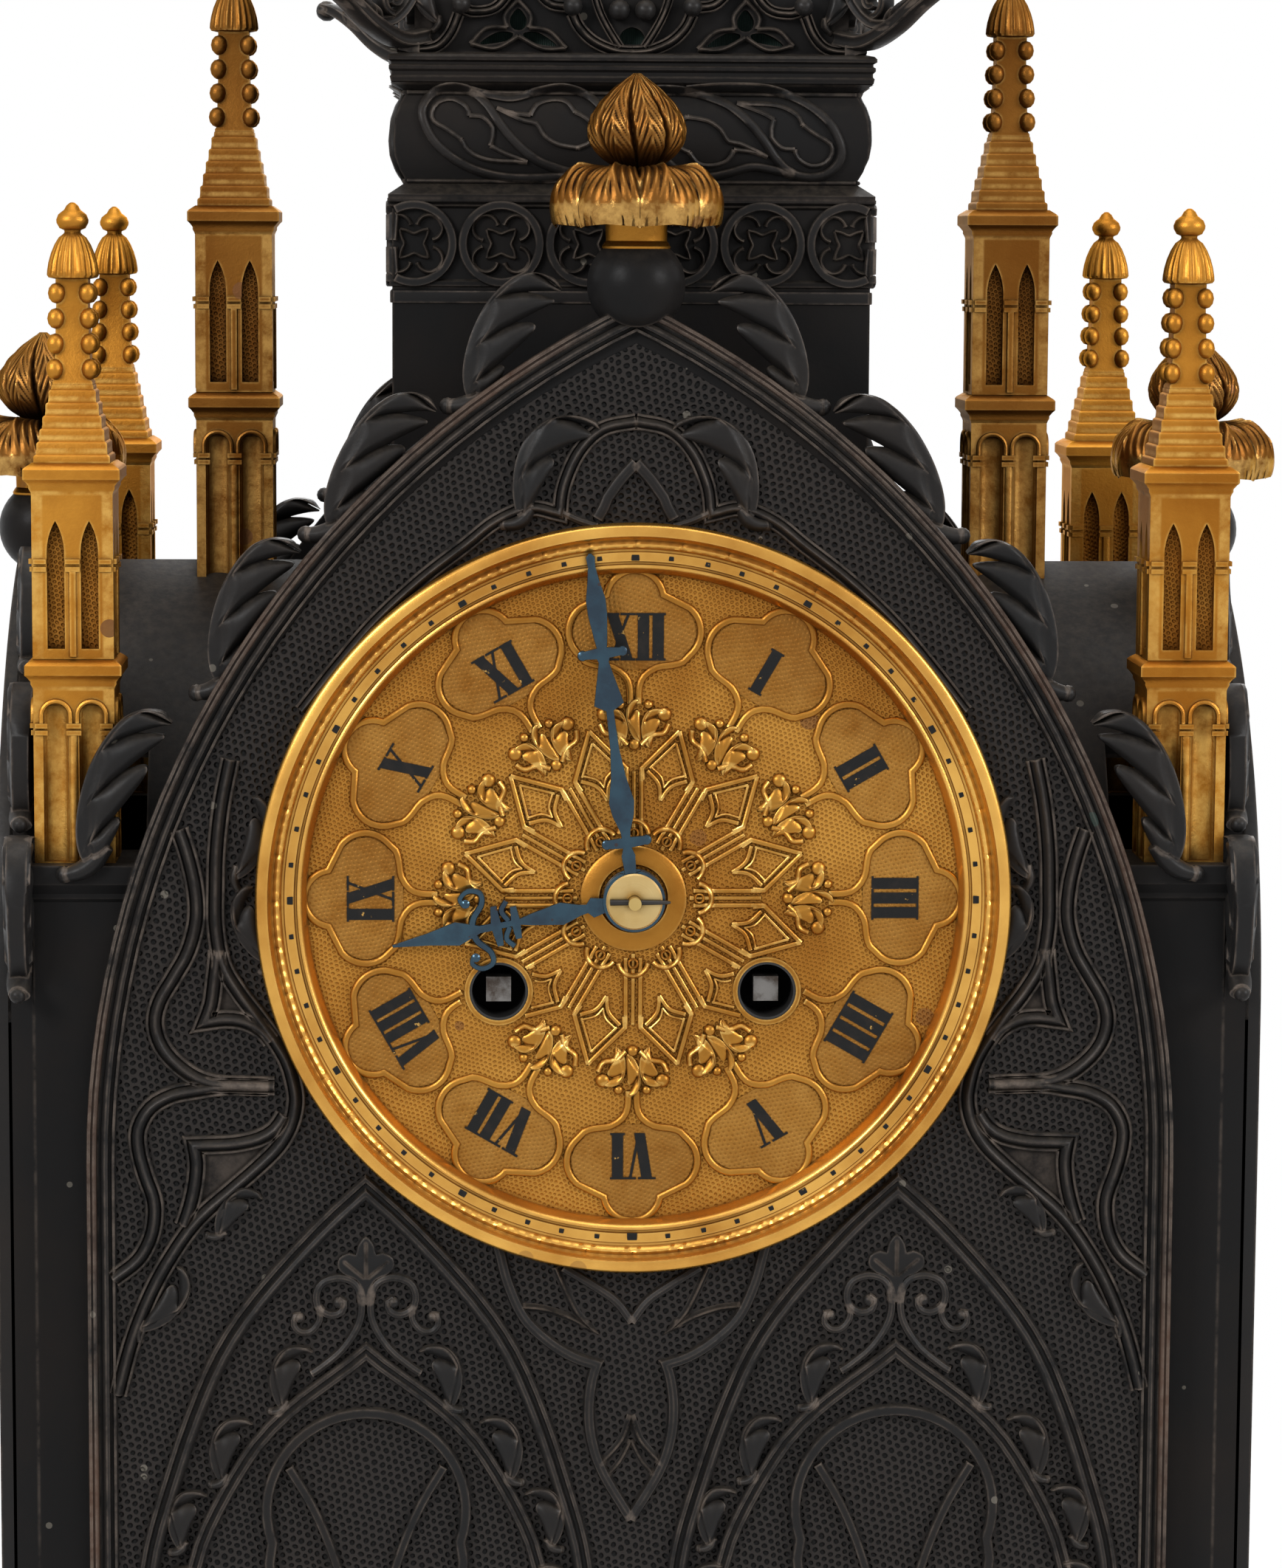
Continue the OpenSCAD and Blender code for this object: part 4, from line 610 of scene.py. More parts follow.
# A bar of the given section along a line in the plane, mitred at its corners
def addBar(shape, line, width, height, place, section="round", closed=False, base=0.0, taper=None):
    section = profiles[section] if isinstance(section, str) else section
    count, k = len(line), len(section)
    points, faces = [], []
    for i, (u, v) in enumerate(line):
        before = line[i - 1] if i > 0 or closed else None
        after = line[(i + 1) % count] if i < count - 1 or closed else None
        d1 = Vector((u - before[0], v - before[1])) if before else None
        d2 = Vector((after[0] - u, after[1] - v)) if after else None
        d1 = d1 if d1 is not None and d1.length > 1e-6 else d2
        d2 = d2 if d2 is not None and d2.length > 1e-6 else d1
        d1, d2 = d1.normalized(), d2.normalized()
        mid = d1 + d2
        if mid.length < 1e-3:
            mid = d1.copy()
        mid.normalize()
        grow = min(1 / max(mid.dot(d1), 0.3), 2.6)
        side = Vector((-mid.y, mid.x)) * grow
        size = taper(i / max(1, count - 1)) if taper else 1.0
        for across, up in section:
            points.append((u + side.x * across * width * size, v + side.y * across * width * size,
                base + up * height * (size if up > 0 else 1)))
    for i in range(count if closed else count - 1):
        n = (i + 1) % count
        for j in range(k):
            m = (j + 1) % k
            faces.append((i * k + j, i * k + m, n * k + m, n * k + j))
    if not closed:
        faces.append(tuple(range(k)))
        faces.append(tuple(reversed(range((count - 1) * k, count * k))))
    shape.add(points, faces, place)


# A turned form: profile of (radius, height), radius changed by ripple(angle, part)
def addTurned(shape, profile, place, segments=48, ripple=None, lift=None, closed=False):
    points, faces = [], []
    rows = len(profile)
    for j, (r, z) in enumerate(profile):
        part = j / max(1, rows - 1)
        for i in range(segments):
            a = tau * i / segments
            radius = r * ripple(a, part) if ripple else r
            rise = lift(a, part) if lift else 0.0
            points.append((radius * math.cos(a), radius * math.sin(a), z + rise))
    for j in range(rows if closed else rows - 1):
        n = (j + 1) % rows
        for i in range(segments):
            m = (i + 1) % segments
            faces.append((j * segments + i, j * segments + m, n * segments + m, n * segments + i))
    if not closed:
        if profile[0][0] > 1e-6:
            faces.append(tuple(reversed(range(segments))))
        if profile[-1][0] > 1e-6:
            faces.append(tuple(range((rows - 1) * segments, rows * segments)))
    shape.add(points, faces, place)


def upright(x, y, z):
    return lambda a, b, c: (a + x, b + y, c + z)


# Turned about the axis of the dial, growing towards the front
def dialAxis(x, z, front=0.0):
    return lambda a, b, c: (a + x, front - c, b + z)


def addBall(shape, place, x, y, z, r, squash=1.0, segments=12):
    rows = max(4, segments // 2)
    profile = [(max(1e-4, r * math.sin(math.pi * i / rows)), -r * squash * math.cos(math.pi * i / rows))
        for i in range(rows + 1)]
    addTurned(shape, profile, (lambda a, b, c: place(a + x, b + y, c + z)), segments)


def addBlock(shape, place, x0, x1, y0, y1, z0, z1):
    points = [(x, y, z) for z in (z0, z1) for y in (y0, y1) for x in (x0, x1)]
    faces = [(0, 2, 3, 1), (4, 5, 7, 6), (0, 1, 5, 4), (2, 6, 7, 3), (0, 4, 6, 2), (1, 3, 7, 5)]
    shape.add(points, faces, place)


# A square moulded block: profile of (half side, height)
def addSquare(shape, profile, place, ring=False):
    points, faces = [], []
    for half, z in profile:
        points.extend([(-half, -half, z), (half, -half, z), (half, half, z), (-half, half, z)])
    rows = len(profile)
    for j in range(rows if ring else rows - 1):
        n = (j + 1) % rows
        for i in range(4):
            m = (i + 1) % 4
            faces.append((4 * j + i, 4 * j + m, 4 * n + m, 4 * n + i))
    if not ring:
        faces.append((3, 2, 1, 0))
        faces.append(tuple(range(4 * rows - 4, 4 * rows)))
    shape.add(points, faces, place)


# A plate cut from outlines, the first one outside and the others holes
def addPlate(shape, outlines, thickness, place, base=0.0, bevel=0.0):
    data = bpy.data.curves.new("outline", "CURVE")
    data.dimensions = "2D"
    data.fill_mode = "BOTH"
    data.extrude = max(0.0, thickness / 2 - bevel)
    data.bevel_depth = bevel
    data.bevel_resolution = 1
    data.offset = -bevel
    for outline in outlines:
        spline = data.splines.new("POLY")
        spline.points.add(len(outline) - 1)
        for point, (u, v) in zip(spline.points, outline):
            point.co = (u, v, 0, 1)
        spline.use_cyclic_u = True
    item = addObject("outline", data)
    bpy.context.view_layer.update()
    mesh = bpy.data.meshes.new_from_object(item.evaluated_get(bpy.context.evaluated_depsgraph_get()))
    middle = base + thickness / 2
    work = bmesh.new()
    work.from_mesh(mesh)
    bmesh.ops.remove_doubles(work, verts=work.verts, dist=1e-4)
    bmesh.ops.dissolve_degenerate(work, edges=work.edges, dist=1e-5)
    shape.add([(v.co.x, v.co.y, v.co.z + middle) for v in work.verts],
        [tuple(v.index for v in f.verts) for f in work.faces], place)
    work.free()
    bpy.data.objects.remove(item)
    bpy.data.curves.remove(data)
    bpy.data.meshes.remove(mesh)


def circleLine(u, v, r, count=64, start=0.0, sweep=360.0):
    closed = abs(sweep - 360.0) < 1e-6
    steps = count if closed else count + 1
    return [(u + r * math.cos(math.radians(start + sweep * i / count)),
        v + r * math.sin(math.radians(start + sweep * i / count))) for i in range(steps)]


# The outline of a pointed arch standing on v0, from left foot over the point to right foot
def archLine(half, spring, rise, v0, u0=0.0, steps=28):
    r = (half * half + rise * rise) / (2 * half)
    top = math.asin(min(1.0, rise / r))
    left = [(u0 - half, v0)]
    for i in range(steps + 1):
        a = top * i / steps
        left.append((u0 + r - half - r * math.cos(a), spring + r * math.sin(a)))
    right = [(2 * u0 - u, v) for u, v in reversed(left[:-1])]
    return left + right


# Arch line moved inwards by d
def archInside(half, spring, rise, v0, d, u0=0.0, steps=28):
    return archLine(half - d, spring, rise * (1 - d / half), v0, u0, steps)


leafBack = [(-0.02, 0.05), (0.03, 0.35), (0.15, 0.62), (0.35, 0.86), (0.58, 1.0), (0.8, 0.98), (0.95, 0.78),
    (1.02, 0.5), (1.0, 0.28)]


# A bar section from its upper half
def doubled(upper):
    return upper + [(u, -v) for u, v in reversed(upper[1:-1])]


ovalSection = doubled([(-0.5, 0.0), (-0.42, 0.6), (-0.2, 0.92), (0, 1.0), (0.2, 0.92), (0.42, 0.6),
    (0.5, 0.0)])


# A half palm leaf from foot to tip: smooth arched back, lobed inner edge, leaflets that sweep forward
def addLeaf(shape, place, foot, tip, width, height, side=1, lobes=4, both=False, bend=0.0, scroll=True,
        centre=0.5, fine=0.035):
    du, dv = tip[0] - foot[0], tip[1] - foot[1]
    length = math.hypot(du, dv)
    along = (du / length, dv / length)
    across = (-along[1] * side, along[0] * side)

    def spot(t, s, h):
        t, s = t * length, (s - centre) * width + bend * length * math.sin(math.pi * max(0, min(1, t)))
        return (foot[0] + along[0] * t + across[0] * s, foot[1] + along[1] * t + across[1] * s, h)
    back = smoothLine(leafBack, fine)
    rows, cols = len(back) - 1, 12 if fine < 0.06 else 6
    top = []
    for i, (bt, bs) in enumerate(back):
        p = i / rows
        leaflet = abs(math.sin(math.pi * lobes * p ** 0.8))
        it = 1 - (1 - p) ** 4.2
        inner = -0.02 + 0.3 * it
        reach = 1 - 0.46 * (1 - leaflet ** 0.6) * min(1, p * 9) * min(1, 4 * (1 - p))
        for j in range(cols + 1):
            q = j / cols
            t = bt + (it - bt) * (q * reach) ** 0.75
            s = bs + (inner - bs) * (q * reach) ** 1.55
            dome = max(0.0, math.sin(math.pi * (0.07 + 0.86 * q))) ** 0.4
            cut = min(1.0, max(0.0, (q - 0.26) / 0.2))
            groove = 1 - cut * 0.85 * (1 - leaflet ** 0.45)
            rim = 1 - 0.2 * math.exp(-((q - 0.15) / 0.05) ** 2)
            end = min(1.0, 0.45 + 6 * p, 0.5 + 5 * (1 - p))
            top.append(spot(t, s, height * dome * groove * rim * end))
    low = [(u, v, -h if both else -0.3) for u, v, h in top]
    wide = cols + 1
    faces = []
    for i in range(rows):
        for j in range(cols):
            a = i * wide + j
            faces.append((a, a + 1, a + wide + 1, a + wide))
    count = len(top)
    faces.extend([tuple(reversed([i + count for i in f])) for f in faces])
    rim = [j for j in range(wide)] + [i * wide + cols for i in range(1, rows + 1)]
    rim += [rows * wide + j for j in range(cols - 1, -1, -1)] + [i * wide for i in range(rows - 1, 0, -1)]
    for a, b in zip(rim, rim[1:] + rim[:1]):
        faces.append((a, a + count, b + count, b))
    shape.add(top + low, faces, place)
    if scroll:
        curl = [spot(t, s, 0)[:2] for t, s in ((0.16, 0.06), (0.03, 0.1), (-0.06, 0.2), (-0.13, 0.36))]
        addBar(shape, smoothLine(curl, width * 0.05), width * 0.3, height * 0.8, place, ovalSection,
            taper=lambda t: 0.75 + 0.3 * math.sin(math.pi * t))
        u, v, h = spot(-0.13, 0.37, 0)
        r = width * 0.135
        addBall(shape, place, u, v, 0.0, r, min(1.0, height * 0.8 / r), 12)


# A curl that winds inwards from a start point
def curlLine(u, v, r, start, turns, steps=26):
    line = []
    for i in range(steps + 1):
        t = i / steps
        a = math.radians(start) + tau * turns * t
        rr = r * (1 - 0.72 * t)
        line.append((u + rr * math.cos(a), v + rr * math.sin(a)))
    return line


# Radii are measured from the dial's middle; the holes' place is across and up from it
dial = {
    "plateY": 55.5, "radius": 51.9, "numeralR": 41.0, "numeralH": 7.4,
    "filletW": 1.15, "filletH": 0.55, "stroke": 1.75, "hair": 0.42, "holeX": 21.0, "holeZ": -14.7,
    "holeR": 4.6,
}
dialPlane = shifted(plane(0, dial["plateY"]), 0, case["dialZ"])
romans = ["XII", "I", "II", "III", "IIII", "V", "VI", "VII", "VIII", "IX", "X", "XI"]
strokeWidths = {"I": 2.3, "V": 4.6, "X": 5.0}


def barOutline(a, b, width):
    return [(a[0] - width / 2, a[1]), (a[0] + width / 2, a[1]), (b[0] + width / 2, b[1]),
        (b[0] - width / 2, b[1])]


def numeralPlates(word):
    half, thick, hair = dial["numeralH"] / 2, dial["stroke"], dial["hair"]
    total = sum(strokeWidths[letter] for letter in word)
    squeeze = min(1.0, 10.6 / total)
    u = -total / 2
    plates = []
    for letter in word:
        w = strokeWidths[letter]
        mid = u + w / 2
        if letter == "I":
            plates.append(barOutline((mid, -half), (mid, half), thick))
            serifs = [(mid, half, w), (mid, -half, w)]
        elif letter == "V":
            plates.append(barOutline((mid - w * 0.26, half), (mid, -half), thick * 0.95))
            plates.append(barOutline((mid + w * 0.32, half), (mid + 0.1, -half), hair))
            serifs = [(mid - w * 0.26, half, w * 0.6), (mid + w * 0.32, half, w * 0.4)]
        else:
            plates.append(barOutline((mid - w * 0.24, half), (mid + w * 0.24, -half), thick))
            plates.append(barOutline((mid + w * 0.28, half), (mid - w * 0.28, -half), hair))
            serifs = [(mid + s * w * 0.25, e, w * 0.46) for s in (-1, 1) for e in (half, -half)]
        for su, sv, sw in serifs:
            sign = 1 if sv > 0 else -1
            plates.append([(su - sw / 2, sv), (su + sw / 2, sv), (su + sw / 2, sv - sign * hair * 0.8),
                (su - sw / 2, sv - sign * hair * 0.8)])
        u += w
    return [[(p[0] * squeeze, p[1]) for p in plate] for plate in plates]


# One line of the trefoil cartouche, radius along v and tangent along u
def cartoucheLine():
    half = [(0.65, 30.6), (0.75, 33.2)]
    half += [(1.5, 34.9), (3.4, 36.2), (6.0, 36.6), (7.6, 37.1)]
    side = circleLine(5.55, 41.8, 4.75, 14, -58, 118)
    lobe = circleLine(0, 46.9, 4.45, 12, 8, 82)
    return joinLines(half + side[1:], step=0.8)[:-1] + lobe


# A bar that stops short of the winding holes
def addTrimmed(shape, line, width, height, place, section="round"):
    dense = []
    for (u0, v0), (u1, v1) in zip(line, line[1:]):
        parts = max(1, int(math.hypot(u1 - u0, v1 - v0) / 0.4))
        dense.extend([(u0 + (u1 - u0) * i / parts, v0 + (v1 - v0) * i / parts) for i in range(parts)])
    dense.append(line[-1])
    run = []
    for u, v in dense:
        x, y, z = place(u, v, 0)
        gap = min(math.hypot(x - s * dial["holeX"], z - case["dialZ"] - dial["holeZ"]) for s in (-1, 1))
        if gap > dial["holeR"] + 0.6 + width / 2:
            run.append((u, v))
            continue
        if len(run) > 1:
            addBar(shape, run, width, height, place, section)
        run = []
    if len(run) == len(dense):
        addBar(shape, line, width, height, place, section)
    elif len(run) > 1:
        addBar(shape, run, width, height, place, section)


def makeDial():
    ground = Shape()
    outline = circleLine(0, 0, dial["radius"] - 0.02, 120)
    holes = [circleLine(s * dial["holeX"], dial["holeZ"], dial["holeR"], 40) for s in (-1, 1)]
    addPlate(ground, [outline, *holes, circleLine(0, 0, 2.95, 32)], 1.5, dialPlane, base=-1.5)
    makePiece("dialGround", ground, "dialGround", replaces=["dial_plate"], smooth=30)

    relief, smoothParts = Shape(), Shape()
    unit = cartoucheLine()
    whole = unit + [(-u, v) for u, v in reversed(unit[:-1])]
    for k in range(12):
        turn = rotated(dialPlane, -30 * k)
        addTrimmed(relief, whole, dial["filletW"], dial["filletH"], turn, "round")
        inner = [(u * 0.93, v + (0.3 if v < 41 else -0.3)) for u, v in whole if v > 35.3]
        addPlate(smoothParts, [inner], 0.12, turn, base=0.0)
        if k not in (4, 8):
            addFleur(relief, turn)
        addRay(relief, turn)
        addKite(relief, rotated(dialPlane, -30 * k - 15))
        addScallop(relief, turn)
    ring = [(8.3, -0.2), (8.3, 0.45), (8.0, 0.7), (5.4, 0.7), (5.2, 0.4), (5.2, -0.2)]
    addTurned(relief, ring, dialAxis(0, case["dialZ"], -dial["plateY"]), 72, closed=True)
    for s in (-1, 1):
        r = dial["holeR"]
        collar = [(r, -0.2), (r, 0.3), (r + 0.35, 0.42), (r + 0.75, 0.3), (r + 0.8, -0.2)]
        hole = dialAxis(s * dial["holeX"], case["dialZ"] + dial["holeZ"], -dial["plateY"])
        addTurned(relief, collar, hole, 48, closed=True)
        # Black tube down each winding hole: painted shade of the hole
        tube = [(r - 0.02, 0.1), (r - 0.4, 0.1), (r - 0.4, -6.5), (r - 0.02, -6.5)]
        darkShade = Shape()
        addTurned(darkShade, tube, hole, 48, closed=True)
        makePiece("windingSleeve" + ("Left" if s < 0 else "Right"), darkShade, "sleeveBlack")
    makePiece("dialRelief", relief, "dialRelief", smooth=50)
    makePiece("dialCartouches", smoothParts, "dialPlain", smooth=30)

    ink = Shape()
    for k, word in enumerate(romans):
        turn = rotated(dialPlane, -30 * k)
        for n, plate in enumerate(numeralPlates(word)):
            addPlate(ink, [plate], 0.1, shifted(turn, 0, dial["numeralR"]), base=0.1 + 0.004 * n)
    makePiece("numerals", ink, "ink", smooth=20)


# Leafy trefoil at the foot of a cartouche stem
def addFleur(shape, place):
    for s in (-1, 1):
        addLeaf(shape, place, (s * 1.2, 24.4), (s * 4.3, 29.6), 3.3, 0.9, side=s, lobes=2, bend=0.05,
            scroll=False)
        addBall(shape, place, s * 4.7, 28.9, 0.2, 1.15, 0.6, 12)
        addBar(shape, smoothLine([(s * 1.1, 24.2), (s * 2.6, 25.6), (s * 4.6, 26.0), (s * 5.4, 27.4)], 0.5),
            1.0, 0.9, place, "round")
        addBall(shape, place, s * 2.2, 30.4, 0.15, 0.8, 0.85, 10)
    addLeaf(shape, place, (0, 24.6), (0.2, 31.2), 2.6, 0.92, side=1, lobes=2, bend=0.02, scroll=False)
    addBall(shape, place, 0, 24.2, 0.2, 1.0, 0.7, 10)


# Pair of fillets from the hub to a fleur
def addRay(shape, place):
    for s in (-1, 1):
        line = [(s * 1.15, 9.4), (s * 1.15, 20.4)]
        addTrimmed(shape, line, 0.85, 0.6, place, "round")
    addTrimmed(shape, [(0, 8.8), (0, 20.0)], 0.7, 0.35, place, "round")


# Kite panel between two fleurs, with hollow inner sides
def addKite(shape, place):
    side = (4.15, 20.1)
    for s in (-1, 1):
        addTrimmed(shape, [(s * u, v) for u, v in [(0.0, 27.2), side, (3.5, 18.4)]], 0.9, 0.65, place,
            "round")
        inside = [(s * 0.0, 16.0), (s * 1.0, 18.4), (s * 3.2, 19.9)]
        addTrimmed(shape, smoothLine(inside, 0.5), 0.8, 0.6, place, "round")
        addTrimmed(shape, [(s * 2.9, 20.4), (0.0, 25.2)], 0.55, 0.4, place, "round")
        inner = [(s * 0.0, 18.0), (s * 0.8, 19.5), (s * 2.7, 20.6)]
        addTrimmed(shape, smoothLine(inner, 0.5), 0.5, 0.4, place, "round")


# Scallop of the hub ring with its dot
def addScallop(shape, place):
    line = circleLine(0, 9.9, 2.35, 12, 8, 164)
    addBar(shape, line, 0.95, 0.85, place, "round")
    addBar(shape, circleLine(0, 10.3, 0.7, 12), 0.45, 0.8, place, "round", closed=True)


# Distances from the middle of the clock to the front
bezel = {"front": 60.5, "wall": 56.5, "sleeve": 46.0}


def makeBezel():
    shape = Shape()
    segments = 720
    f, w = bezel["front"], bezel["wall"]
    # radius and distance from the middle of the clock, from the rim inwards
    section = [(58.4, w), (58.8, w + 0.3), (58.8, f - 0.8), (58.6, f - 0.3), (58.2, f), (56.9, f),
        (56.6, f - 0.4), (56.3, f - 1.3)]
    beads = [(56.1, f - 1.75), (55.6, f - 1.5), (55.1, f - 1.75)]
    track = [(54.75, f - 2.25), (54.45, f - 2.35), (54.3, f - 2.2), (52.9, f - 2.5), (52.75, f - 2.9),
        (52.5, f - 2.9), (52.35, f - 2.55), (52.1, f - 2.45), (51.8, f - 2.6), (51.5, f - 3.2),
        (51.1, f - 3.9), (50.8, f - 4.9), (50.8, f - 5.0)]
    back = [(52.0, f - 5.0), (52.0, bezel["sleeve"]), (54.4, bezel["sleeve"]), (54.4, w - 0.1)]
    profile = section + beads + track + back
    low, high = len(section), len(section) + len(beads)

    def beading(a, part):
        row = round(part * (len(profile) - 1))
        return 0.34 * abs(math.sin(a * 96)) ** 0.6 if low <= row < high else 0.0
    addTurned(shape, profile, dialAxis(0, case["dialZ"]), segments, lift=beading, closed=True)
    makePiece("bezelRim", shape, "giltRim", replaces=["dial_bezel"], smooth=40)
    marks = Shape()
    for k in range(60):
        turn = rotated(dialPlane, -6 * k)
        size = 0.62 if k % 5 == 0 else 0.4
        if k == 30:
            size = 0.8
        jitter = random.uniform(-0.12, 0.12)
        addBlock(marks, turn, jitter - size, jitter + size, 53.6 - size, 53.6 + size, 2.35, 2.72)
    makePiece("minuteMarks", marks, "ink", bevel=0.08, smooth=20)


handShape = {
    "minute": [(0.9, 4.4), (1.1, 7.2), (0.7, 8.4), (2.9, 8.6), (3, 10), (0.7, 10.1), (0.8, 11), (1.7, 13.6),
        (2, 15.7), (1.2, 19.5), (0.7, 24), (0.6, 30), (2.35, 31), (0.8, 37.6), (1, 38.2), (3.2, 38.4),
        (3.2, 39.6), (0.8, 39.9), (1, 41), (1.5, 45), (1.55, 47.4), (0.9, 50.5), (0.6, 52.5), (0.7, 54),
        (0.2, 54.6)],
    "hour": [(1.1, 4.4), (1.6, 6.6), (0.7, 7.4), (0.9, 8.6), (1.8, 11.4), (0.9, 16.4), (0.5, 18), (2.6, 18.2),
        (2.6, 19.2), (0.5, 19.4), (0.5, 21), (3.2, 21.2), (3.2, 22.2), (0.6, 22.6), (0.6, 24.4), (1.9, 28),
        (1, 32.5), (0.2, 38.3)],
    "minuteAngle": 7.5, "hourAngle": -259.0, "thick": 0.8, "hub": 4.9,
}


def handOutline(half):
    hub = [(handShape["hub"] * math.sin(math.radians(a)), handShape["hub"] * math.cos(math.radians(a)))
        for a in range(180, 10, -10)]
    right = hub + half
    return right + [(-u, v) for u, v in reversed(right[1:])]


def makeHands():
    for name, bore, front, angle, body in (("minute", 1.65, 59.1, handShape["minuteAngle"], "minute_work"),
            ("hour", 2.6, 57.5, handShape["hourAngle"], "hour_work")):
        shape = Shape()
        place = rotated(shifted(plane(0, front - handShape["thick"]), 0, case["dialZ"]), angle)
        outlines = [handOutline(handShape[name]), circleLine(0, 0, bore, 24)]
        addPlate(shape, outlines, handShape["thick"], place, bevel=0.16)
        if name == "hour":
            for s in (-1, 1):
                hook = smoothLine([(s * 0.6, 25.6), (s * 2.0, 25.0), (s * 3.9, 23.4), (s * 5.6, 23.4),
                    (s * 6.2, 25.2), (s * 5.2, 26.6), (s * 4.0, 26.2)], 0.35)
                addBar(shape, hook, 1.1, handShape["thick"], place, "flat", taper=lambda t: 1 - 0.35 * t)
                addBall(shape, place, s * 4.3, 25.9, handShape["thick"] * 0.45, 0.75, 0.6, 10)
                leaf = smoothLine([(s * 0.5, 19.8), (s * 2.2, 20.6), (s * 3.6, 19.6)], 0.4)
                addBar(shape, leaf, 0.9, handShape["thick"], place, "flat")
        else:
            for v in (9.3, 39.0):
                for s in (-1, 1):
                    addBall(shape, place, s * 3.1, v, handShape["thick"] * 0.5, 0.85, 0.5, 12)
        makePiece(name + "Hand", shape, "blued", body, [name + "_hand"], smooth=35)
    washer = Shape()
    profile = [(1.06, 0.0), (4.2, 0.0), (4.4, 0.2), (4.4, 0.55), (4.15, 0.8), (3.4, 0.86), (1.5, 0.8),
        (1.06, 0.7)]
    addTurned(washer, profile, dialAxis(0, case["dialZ"], -59.1), 56, closed=True)
    makePiece("handWasher", washer, "washerBrass", "minute_work", ["hand_washer"],
        smooth=35)
    pin = Shape()
    addTurned(pin, [(0.5, 0.0), (0.46, 3), (0.4, 6), (0.34, 8.8), (0.18, 9.4)],
        lambda a, b, c: (c - 3.8, b - 60.35, a + case["dialZ"]), 14)
    makePiece("taperPin", pin, "darkSteel", "minute_work", ["hand_pin"], smooth=40)


makeDial()
makeBezel()
makeHands()
print("dial, bezel and hands")


# Arches as half width, height of the springing and rise
wall = {
    "arch": (85.3, 168, 135), "base": 45, "depth": 52.5, "thick": 4, "hole": 54.6,
    "sideArch": (52.5, 190, 72), "sideDepth": 93.7, "traceryW": 3.1, "traceryH": 1.7,
}
# Three rubbed fillets along the edge, outer side first
stripSection = [(0, -0.5), (0, 1.7), (-0.15, 2.0), (-0.55, 2.0), (-0.65, 1.75), (-0.85, 1.75), (-0.95, 2.0),
    (-1.3, 2.0), (-1.5, 1.8), (-1.6, -0.5)]
edgeSection = [(-1.5, -0.5), (-1.55, 0.8), (-2.1, 0.8), (-2.35, 1.5), (-2.8, 1.8), (-3.25, 1.5), (-3.4, 0.5),
    (-3.75, 0.45), (-3.9, 1.0), (-4.25, 1.0), (-4.45, 0.5), (-4.6, -0.5)]
tracery = [
    [[(-70.6, 221), (-69.3, 217), (-68.2, 212), (-68, 207), (-69.3, 202), (-71.5, 198), (-73.8, 194),
        (-74.5, 190.5), (-73.5, 187), (-71, 184), (-67.5, 181.7), (-63, 180.7), (-56, 180.6)]],
    [[(-57, 180.5), (-63, 180.7), (-68, 180), (-72, 179.2), (-75.3, 177.3), (-77.2, 174), (-77.2, 170.5),
        (-76.2, 166.5), (-75, 163), (-74.8, 160), (-75.5, 156.5), (-77.5, 153), (-81.3, 150)]],
    [[(-62.6, 232), (-64, 225), (-64.8, 218), (-65, 212), (-65, 206), (-64, 200), (-61.5, 195.5),
        (-58.5, 191.5), (-56, 188), (-54, 184.5), (-53, 181), (-52.7, 178), (-53.5, 174.5), (-55.5, 171),
        (-59, 167.5), (-63, 164), (-67, 160.5), (-70, 157), (-73.5, 151.5), (-76, 146.5), (-78.5, 140),
        (-80.8, 131.5)]],
    [[(-64.7, 202), (-65.3, 197), (-65.8, 193.5), (-66.8, 190.8)],
        [(-66.8, 190.8), (-63.5, 191.2), (-60.5, 190.8), (-58, 189.5), (-56.5, 187.8)]],
    [[(-54.5, 176), (-56, 173.8), (-58.5, 172.3), (-62, 171.5), (-65, 171.3), (-68.6, 171.2)],
        [(-68.6, 171.2), (-68.2, 168.5), (-68.5, 165), (-69.3, 161.5), (-70.3, 158.5)]],
]
# Small hollows of the tracery that get plain plates as painted shade
shadePockets = [
    [(-64.4, 200), (-61, 194.5), (-58, 190.8), (-61, 191.6), (-66, 191.6), (-65.3, 196)],
    [(-67.6, 169.6), (-60, 170.6), (-56.5, 171), (-60, 167.5), (-64, 163.8), (-68.6, 160.2), (-67.6, 164)],
]
wallLeaves = [((-66, 158), (-58.5, 163.5), 1), ((-76, 141), (-70.5, 151.5), -1),
    ((-60.5, 213), (-58.3, 226), -1), ((-58.8, 200), (-60.2, 212), 1)]
lancet = {
    "axis": -41.8,
    "outer": [(-79.5, 54), (-79.5, 72), (-79, 88), (-78.2, 98), (-77, 107), (-74, 117.5), (-70.5, 128),
        (-66, 138.5), (-60, 147.5), (-50, 158.8), (-41.8, 166.5)],
    "inner": [(-72.4, 54), (-72.4, 76), (-72, 90), (-71, 99), (-69, 107.5), (-65, 116), (-60, 124),
        (-55, 129.3), (-50, 133.3), (-45, 137), (-41.8, 139.7)],
    "ring": [(-56.6, 54), (-56.6, 84), (-56.6, 98), (-57.4, 107)],
    "mullion": [(-54, 119.5), (-50.5, 113.5), (-47.5, 106.5), (-44.6, 97), (-42.4, 88), (-41.8, 80)],
    "leaves": [((-14.9, 130.0), (-9.3, 138.8)), ((-24.4, 118.2), (-18.8, 127.2)),
        ((-30.9, 107.2), (-26, 115.6)), ((-31.4, 94), (-28.2, 103.4)), ((-33.2, 80), (-30.6, 90)),
        ((-33.6, 66), (-31.2, 76))],
}
frameSection = [(0, -0.5), (0, 0.9), (-0.3, 1.35), (-0.8, 1.35), (-1.1, 0.75), (-1.5, 0.75), (-1.8, 1.5),
    (-2.35, 1.7), (-2.8, 1.4), (-3.1, 0.8), (-3.25, -0.5)]
